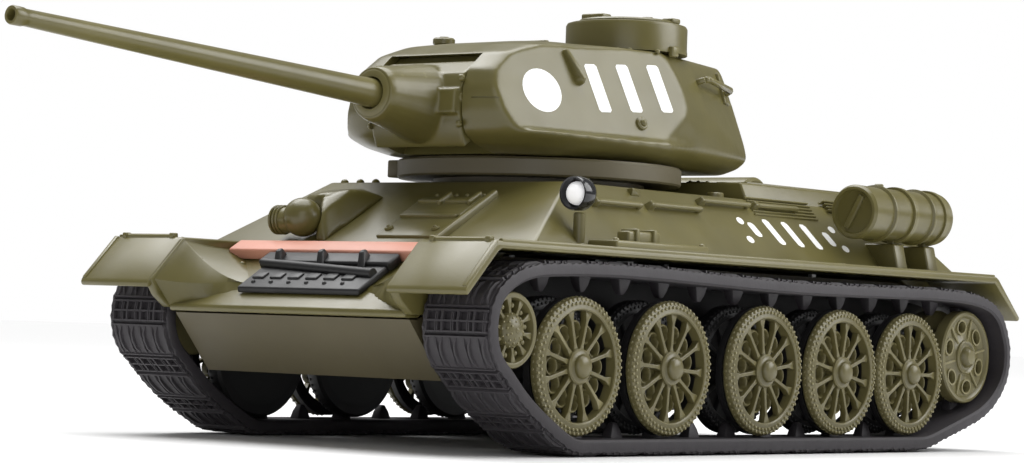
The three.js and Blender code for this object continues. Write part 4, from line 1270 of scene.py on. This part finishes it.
def build_turret_fittings():
    fittings = joined(side_fittings())
    shapes = both(fittings)
    steps = []
    for x in (-8, 9):
        steps.append(rod("z", 2.9, 87.6, 88.9, x, 37.5, 32, 0.5))
    steps.append(block(-20, -4, 8, 28, 87.5, 88.5, 0.5))
    steps.append(block(-18.6, -5.4, 9.2, 26.8, 88.2, 89.0, 0.4))
    for y in (12, 24):
        steps.append(rod("y", 0.9, y - 1.8, y + 1.8, -20.4, 88.5, 16))
    steps.append(block(-15, 15, -18, -16.8, 87.5, 88.35, 0.3))
    for angle in (-150, -118, -86, -60, -50, -25):
        a = math.radians(angle)
        steps.append(dome("z", 0.6, 0.55, 88, 12 + 14.9 * math.cos(a), 15 + 14.9 * math.sin(a)))
    steps.append(block(25.4, 26.8, 12.8, 15.2, 87.2, 89.6, 0.4))
    shapes += [moved(bm, TO_TURRET) for bm in steps]
    make("turret_fittings", joined(shapes), "turret", OLIVE)


def build_ring():
    profile = [
        (20, 58.4), (20.2, 58.2), (31.6, 58.2), (32, 58.6), (32, 61.8), (31.6, 62.3),
        (20.2, 62.3), (20, 62.1),
    ]
    shapes = [turned("z", profile, 0, 0, 96, whole=True)]
    neck = [(20.3, 50.3), (23.7, 50.3), (23.7, 58.6), (20.3, 58.6)]
    shapes.append(turned("z", neck, 0, 0, 64, whole=True))
    shapes.append(block(-26.2, -22.9, -22.0, -18.6, 58.3, 62.2, 0.4))
    shapes.append(spur_ring())
    ring = moved(joined(shapes), TO_TURRET)
    # The ring is dressed in the darker olive copy, which is painted shade.
    make("turret_base_ring", ring, "turret", OLIVE_SHADED, ["turret_ring"])


def spur_ring():
    """The gear teeth under the ring that the turret motor drives."""
    rings = []
    outline = []
    for i in range(36):
        for share, r in ((-0.26, 23.4), (-0.07, 24.9), (0.07, 24.9), (0.26, 23.4)):
            a = math.pi / 2 + (i + share) * math.pi / 18
            outline.append((r * math.cos(a), r * math.sin(a)))
    inner = []
    for x, y in outline:
        a = math.atan2(y, x)
        inner.append((21.2 * math.cos(a), 21.2 * math.sin(a)))
    for line, z in ((outline, 50.5), (outline, 53.7), (inner, 53.7), (inner, 50.5)):
        rings.append([Vector((x, y, z)) for x, y in line])
    return skin(rings, closed=True)


def build_cupola():
    x, y, r = 12, 15 + RING_Y, 13.8
    wall = [
        (10.2, 88.3), (r + 0.1, 88.3), (r + 0.1, 89.0), (r, 89.4), (r, 94.2), (r - 0.3, 94.8), (r - 0.9, 95),
        (10.5, 95), (10.2, 94.7),
    ]
    make("cupola_wall", turned("z", wall, x, y, 80, whole=True), "turret", OLIVE, ["cupola"])
    lid = [(0, 93.5), (9.8, 93.5), (9.8, 94.8), (11, 94.9), (11, 95.5), (10.6, 95.85), (9.4, 95.9), (0, 95.9)]
    parts = [turned("z", lid, x, y, 64)]
    parts.append(block(x - 8.6, x - 2.4, y - 6, y - 2.6, 95.6, 97.3, 0.4))
    parts.append(block(x - 0.3, x + 0.3, y - 9.6, y + 9.6, 95.6, 96.15, 0.2, 2))
    parts.append(rod("z", 1.5, 95.7, 96.7, x + 5, y + 1, 24, 0.3))
    parts.append(block(x + 7.4, x + 10.6, y + 3, y + 6.2, 95.4, 96.6, 0.4))
    make("cupola_lid", joined(parts), "turret", OLIVE, ["cupola_hatch"])
    px, py = -16.3, -15.5 + RING_Y
    stub = [rod("z", 2.5, 88.3, 90, px, py, 32, 0.35), rod("z", 1.1, 89.8, 90.3, px, py, 20, 0.15)]
    make("periscope_stub", joined(stub), "turret", OLIVE, ["roof_periscope"])


def to_gun(bm):
    """From the gun's own frame, with the trunnion at the origin, into the tank's."""
    y, z = TRUNNION
    return moved(bm, tilted((0, y + RING_Y, z), -REST, "X"))


def build_gun():
    crest = gun_arc(14.75, 40.6, 40.6, 0)
    shield = prism("x", gun_arc(16.8, -34, 22, 20) + crest + gun_arc(12.4, 40, -34, 12), -12.6, 12.6)
    plate = prism("x", gun_arc(13.9, 30, 84, 16) + gun_arc(12.7, 84, 30, 16), -12.6, 12.6)
    cheek = prism("x", gun_arc(12.8, -34, 38, 6) + [(2.6, 2.6), (2.6, -2.6)], 10.6, 12.6)
    rings = []
    for r, y in ((8.7, -12.8), (8.6, -15.6), (7.7, -20), (6.6, -26), (6.1, -29.4), (5.6, -30.8)):
        ring = []
        for a in arc_angles(28):
            ring.append(Vector((r * 0.99 * math.cos(a), y, r * 0.99 * math.sin(a))))
        rings.append(ring)
    snout = skin(rings)
    arms = box(-12.3, 12.3, -18.2, -14, -2.7, 2.7)
    body = combined(shield, [plate, cheek, mirrored(cheek), snout, arms], "UNION")
    body = combined(body, [rod("y", 3.3, -40, -18, 0, 0, 48, 0.01)])
    body = moulded(body, 0.32, 8)
    shapes = [body]
    for side in (-1, 1):
        shapes.append(dome("x", 0.85, 0.75 * side, 12.5 * side, -16.5, 5.0, 18, 4))
        shapes.append(dome("x", 0.8, 0.7 * side, 12.5 * side, -16.3, -4.8, 18, 4))
        shapes.append(rod("x", 1.4, 12.0 * side, 12.75 * side, -15.4, 0.9, 24, 0.2))
        shapes.append(rod("x", 1.5, 11.6 * side, 15.2 * side, 0, 0, 20, 0.2))
    collar = [(3.35, -30.2), (4.6, -30.3), (5.0, -30.8), (4.6, -31.05), (3.5, -31.05)]
    shapes.append(turned("y", collar, 0, 0, 48, whole=True))
    make("mantlet_casting", to_gun(joined(shapes)), "gun", OLIVE, ["gun_mantlet"], 50)
    end = -131.2
    profile = [
        (0, -18.3), (3.0, -18.3), (3.05, -33), (2.9, -36), (1.66, end + 4), (1.66, end + 3.1),
        (1.82, end + 2.6), (1.85, end + 0.3), (1.7, end), (1.2, end), (1.1, end + 0.2), (1.1, end + 14),
        (0, end + 14),
    ]
    tube_shape = turned("y", profile, 0, 0, 48)
    make("barrel_tube", to_gun(tube_shape), "gun", OLIVE, ["gun_barrel"])


# ---------- plain white markings ----------
def marking(outline, to, raised=0.06, depth=-0.25):
    """A thin painted patch on a flat face."""
    bm = skin([[Vector((u, v, h)) for u, v in outline] for h in (depth, raised)])
    return moved(bm, to)


def oval(cx, cy, rx, ry, tilt=0.0, steps=28):
    points = []
    c, s = math.cos(tilt), math.sin(tilt)
    for a in arc_angles(steps):
        u, v = rx * math.cos(a), ry * math.sin(a)
        points.append((cx + u * c - v * s, cy + u * s + v * c))
    return points


def bar_outline(cx, cy, width, height, lean, corner=0.5):
    """A slanted bar with cut corners."""
    w, h = width / 2, height / 2
    points = []
    for sx, sy in ((1, -1), (1, 1), (-1, 1), (-1, -1)):
        pair = [(sx * (w - corner), sy * h), (sx * w, sy * (h - corner))]
        points += pair if sx * sy < 0 else pair[::-1]
    return [(cx + x + y * lean, cy + y) for x, y in points]


def build_markings():
    front = FRONT_PANEL
    local = on_front_panel
    left = []
    disc = local(22.6, -47.6, 76.2)
    left.append(marking(oval(disc.x, disc.y, 5.4, 5.0), front))
    first, last = local(25.0, -31.2, 78), local(28.0, -12.6, 79.4)
    for k in range(3):
        t = k / 2
        cx = first.x + (last.x - first.x) * t
        cy = first.y + (last.y - first.y) * t
        left.append(marking(bar_outline(cx, cy, 3.6, 11.2, -0.12), front))
    shapes = left
    shapes += [mirrored(bm) for bm in [bm.copy() for bm in left]]
    make("turret_markings", joined(shapes), "turret", PAINT)
    swap = SIDE_PLATE @ Matrix(((0, 1, 0, 0), (1, 0, 0, 0), (0, 0, 1, 0), (0, 0, 0, 1)))
    shapes = []
    for k in range(5):
        y = 10 + k * 7.4
        d = down(49.4) + k * 0.25
        height = 7.2 if k in (1, 2, 3) else 4.0
        shapes.append(marking(bar_outline(y, d, 2.5, height, 0.28, 0.6), swap))
    for y, z in ((5.6, 47.0), (6.2, 51.2), (44.2, 46.6), (43.4, 51.0)):
        shapes.append(marking(oval(y, down(z), 1.25, 1.0), swap))
    for bm in shapes:
        bmesh.ops.recalc_face_normals(bm, faces=bm.faces)
    shapes += [mirrored(bm) for bm in [bm.copy() for bm in shapes]]
    make("hull_markings", joined(shapes), "hull", PAINT)


# ---------- the CAD pieces that stay ----------
def dress_cad():
    # The lower tub and battery door get the darker olive copy, which is painted shade.
    looks = {
        "hull_lower_tub": OLIVE_SHADED, "battery_door": OLIVE_SHADED, "battery_pack": BLUE, "control_board": GREEN,
        "speaker": BLACK, "power_switch": BLACK,
    }
    for name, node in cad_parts.items():
        material = looks.get(name)
        if material is None:
            if name.startswith(("drive_motor", "turret_motor", "hull_screw")):
                material = STEEL
            elif name.startswith(("drive_gear", "motor_pinion", "turret_pinion")):
                material = NYLON
            else:
                continue
        node.data.materials.clear()
        node.data.materials.append(material)


# ---------- stage ----------
def build_stage():
    bm = bmesh.new()
    bmesh.ops.create_grid(bm, x_segments=1, y_segments=1, size=14)
    mesh = bpy.data.meshes.new("floor")
    bm.to_mesh(mesh)
    bm.free()
    floor = linked("floor", mesh)
    floor.location = (0, 0, -0.0002)
    material = bpy.data.materials.new("floor_white")
    material.use_nodes = True
    shader = material.node_tree.nodes["Principled BSDF"]
    shader.inputs["Base Color"].default_value = (0.74, 0.74, 0.74, 1)
    shader.inputs["Roughness"].default_value = 0.9
    shader.inputs["Specular IOR Level"].default_value = 0.1
    mesh.materials.append(material)


def build_world():
    world = bpy.data.worlds.new("studio")
    bpy.context.scene.world = world
    world.use_nodes = True
    nodes, links = world.node_tree.nodes, world.node_tree.links
    shade = nodes["Background"]
    shade.inputs["Color"].default_value = (1, 1, 1, 1)
    shade.inputs["Strength"].default_value = 0.22
    white = nodes.new("ShaderNodeBackground")
    white.inputs["Color"].default_value = (1, 1, 1, 1)
    white.inputs["Strength"].default_value = 1.0
    path = nodes.new("ShaderNodeLightPath")
    mix = nodes.new("ShaderNodeMixShader")
    links.new(path.outputs["Is Camera Ray"], mix.inputs["Fac"])
    links.new(shade.outputs["Background"], mix.inputs[1])
    links.new(white.outputs["Background"], mix.inputs[2])
    links.new(mix.outputs["Shader"], nodes["World Output"].inputs["Surface"])


def sun(name, direction, strength, spread):
    """A soft sun that shines along a direction."""
    light = bpy.data.lights.new(name, "SUN")
    light.energy = strength
    light.angle = math.radians(spread)
    obj = linked(name, light)
    obj.rotation_mode = "QUATERNION"
    obj.rotation_quaternion = Vector(direction).to_track_quat("-Z", "Y")


def softbox(name, toward, distance, size, power):
    """A square studio light that faces the tank from a direction."""
    light = bpy.data.lights.new(name, "AREA")
    light.shape = "SQUARE"
    light.size = size
    light.energy = power
    obj = linked(name, light)
    direction = Vector(toward).normalized()
    obj.location = direction * distance + Vector((0, 0, 0.05))
    obj.rotation_mode = "QUATERNION"
    obj.rotation_quaternion = direction.to_track_quat("Z", "Y")


def build_lights():
    sun("top", (0.2, -0.15, -1.0), 3.6, 60)
    softbox("right_back", (0.66, 0.54, 0.5), 1.3, 0.9, 13)
    softbox("left_top", (-0.63, 0.12, 0.77), 1.3, 0.8, 4.5)
    softbox("front", (0.63, -0.776, 0.28), 1.6, 1.0, 4)


def build_camera():
    camera = bpy.data.cameras.new("camera")
    camera.sensor_width = 36
    camera.lens = 105.2
    camera.clip_start = 0.01
    camera.clip_end = 60
    obj = linked("camera", camera)
    yaw, pitch, roll = (math.radians(a) for a in (39.079, 1.965, 2.043))
    ahead = Vector((-math.sin(yaw) * math.cos(pitch), math.cos(yaw) * math.cos(pitch), math.sin(pitch)))
    right = Vector((math.cos(yaw), math.sin(yaw), 0))
    up = right.cross(ahead)
    c, s = math.cos(roll), math.sin(roll)
    right, up = right * c + up * s, up * c - right * s
    basis = Matrix((right, up, -ahead)).transposed().to_4x4()
    obj.matrix_world = Matrix.Translation((0.419877, -0.509064, 0.02405)) @ basis
    bpy.context.scene.camera = obj
    bpy.context.scene.view_settings.view_transform = "Standard"


build_camera()
build_stage()
build_world()
build_lights()
build_hull()
build_bow_fittings()
build_shade_skins()
build_lamp()
build_drums()
build_wheels()
build_tracks()
build_casting()
build_turret_fittings()
build_ring()
build_cupola()
build_gun()
build_markings()
dress_cad()

bpy.context.view_layer.update()
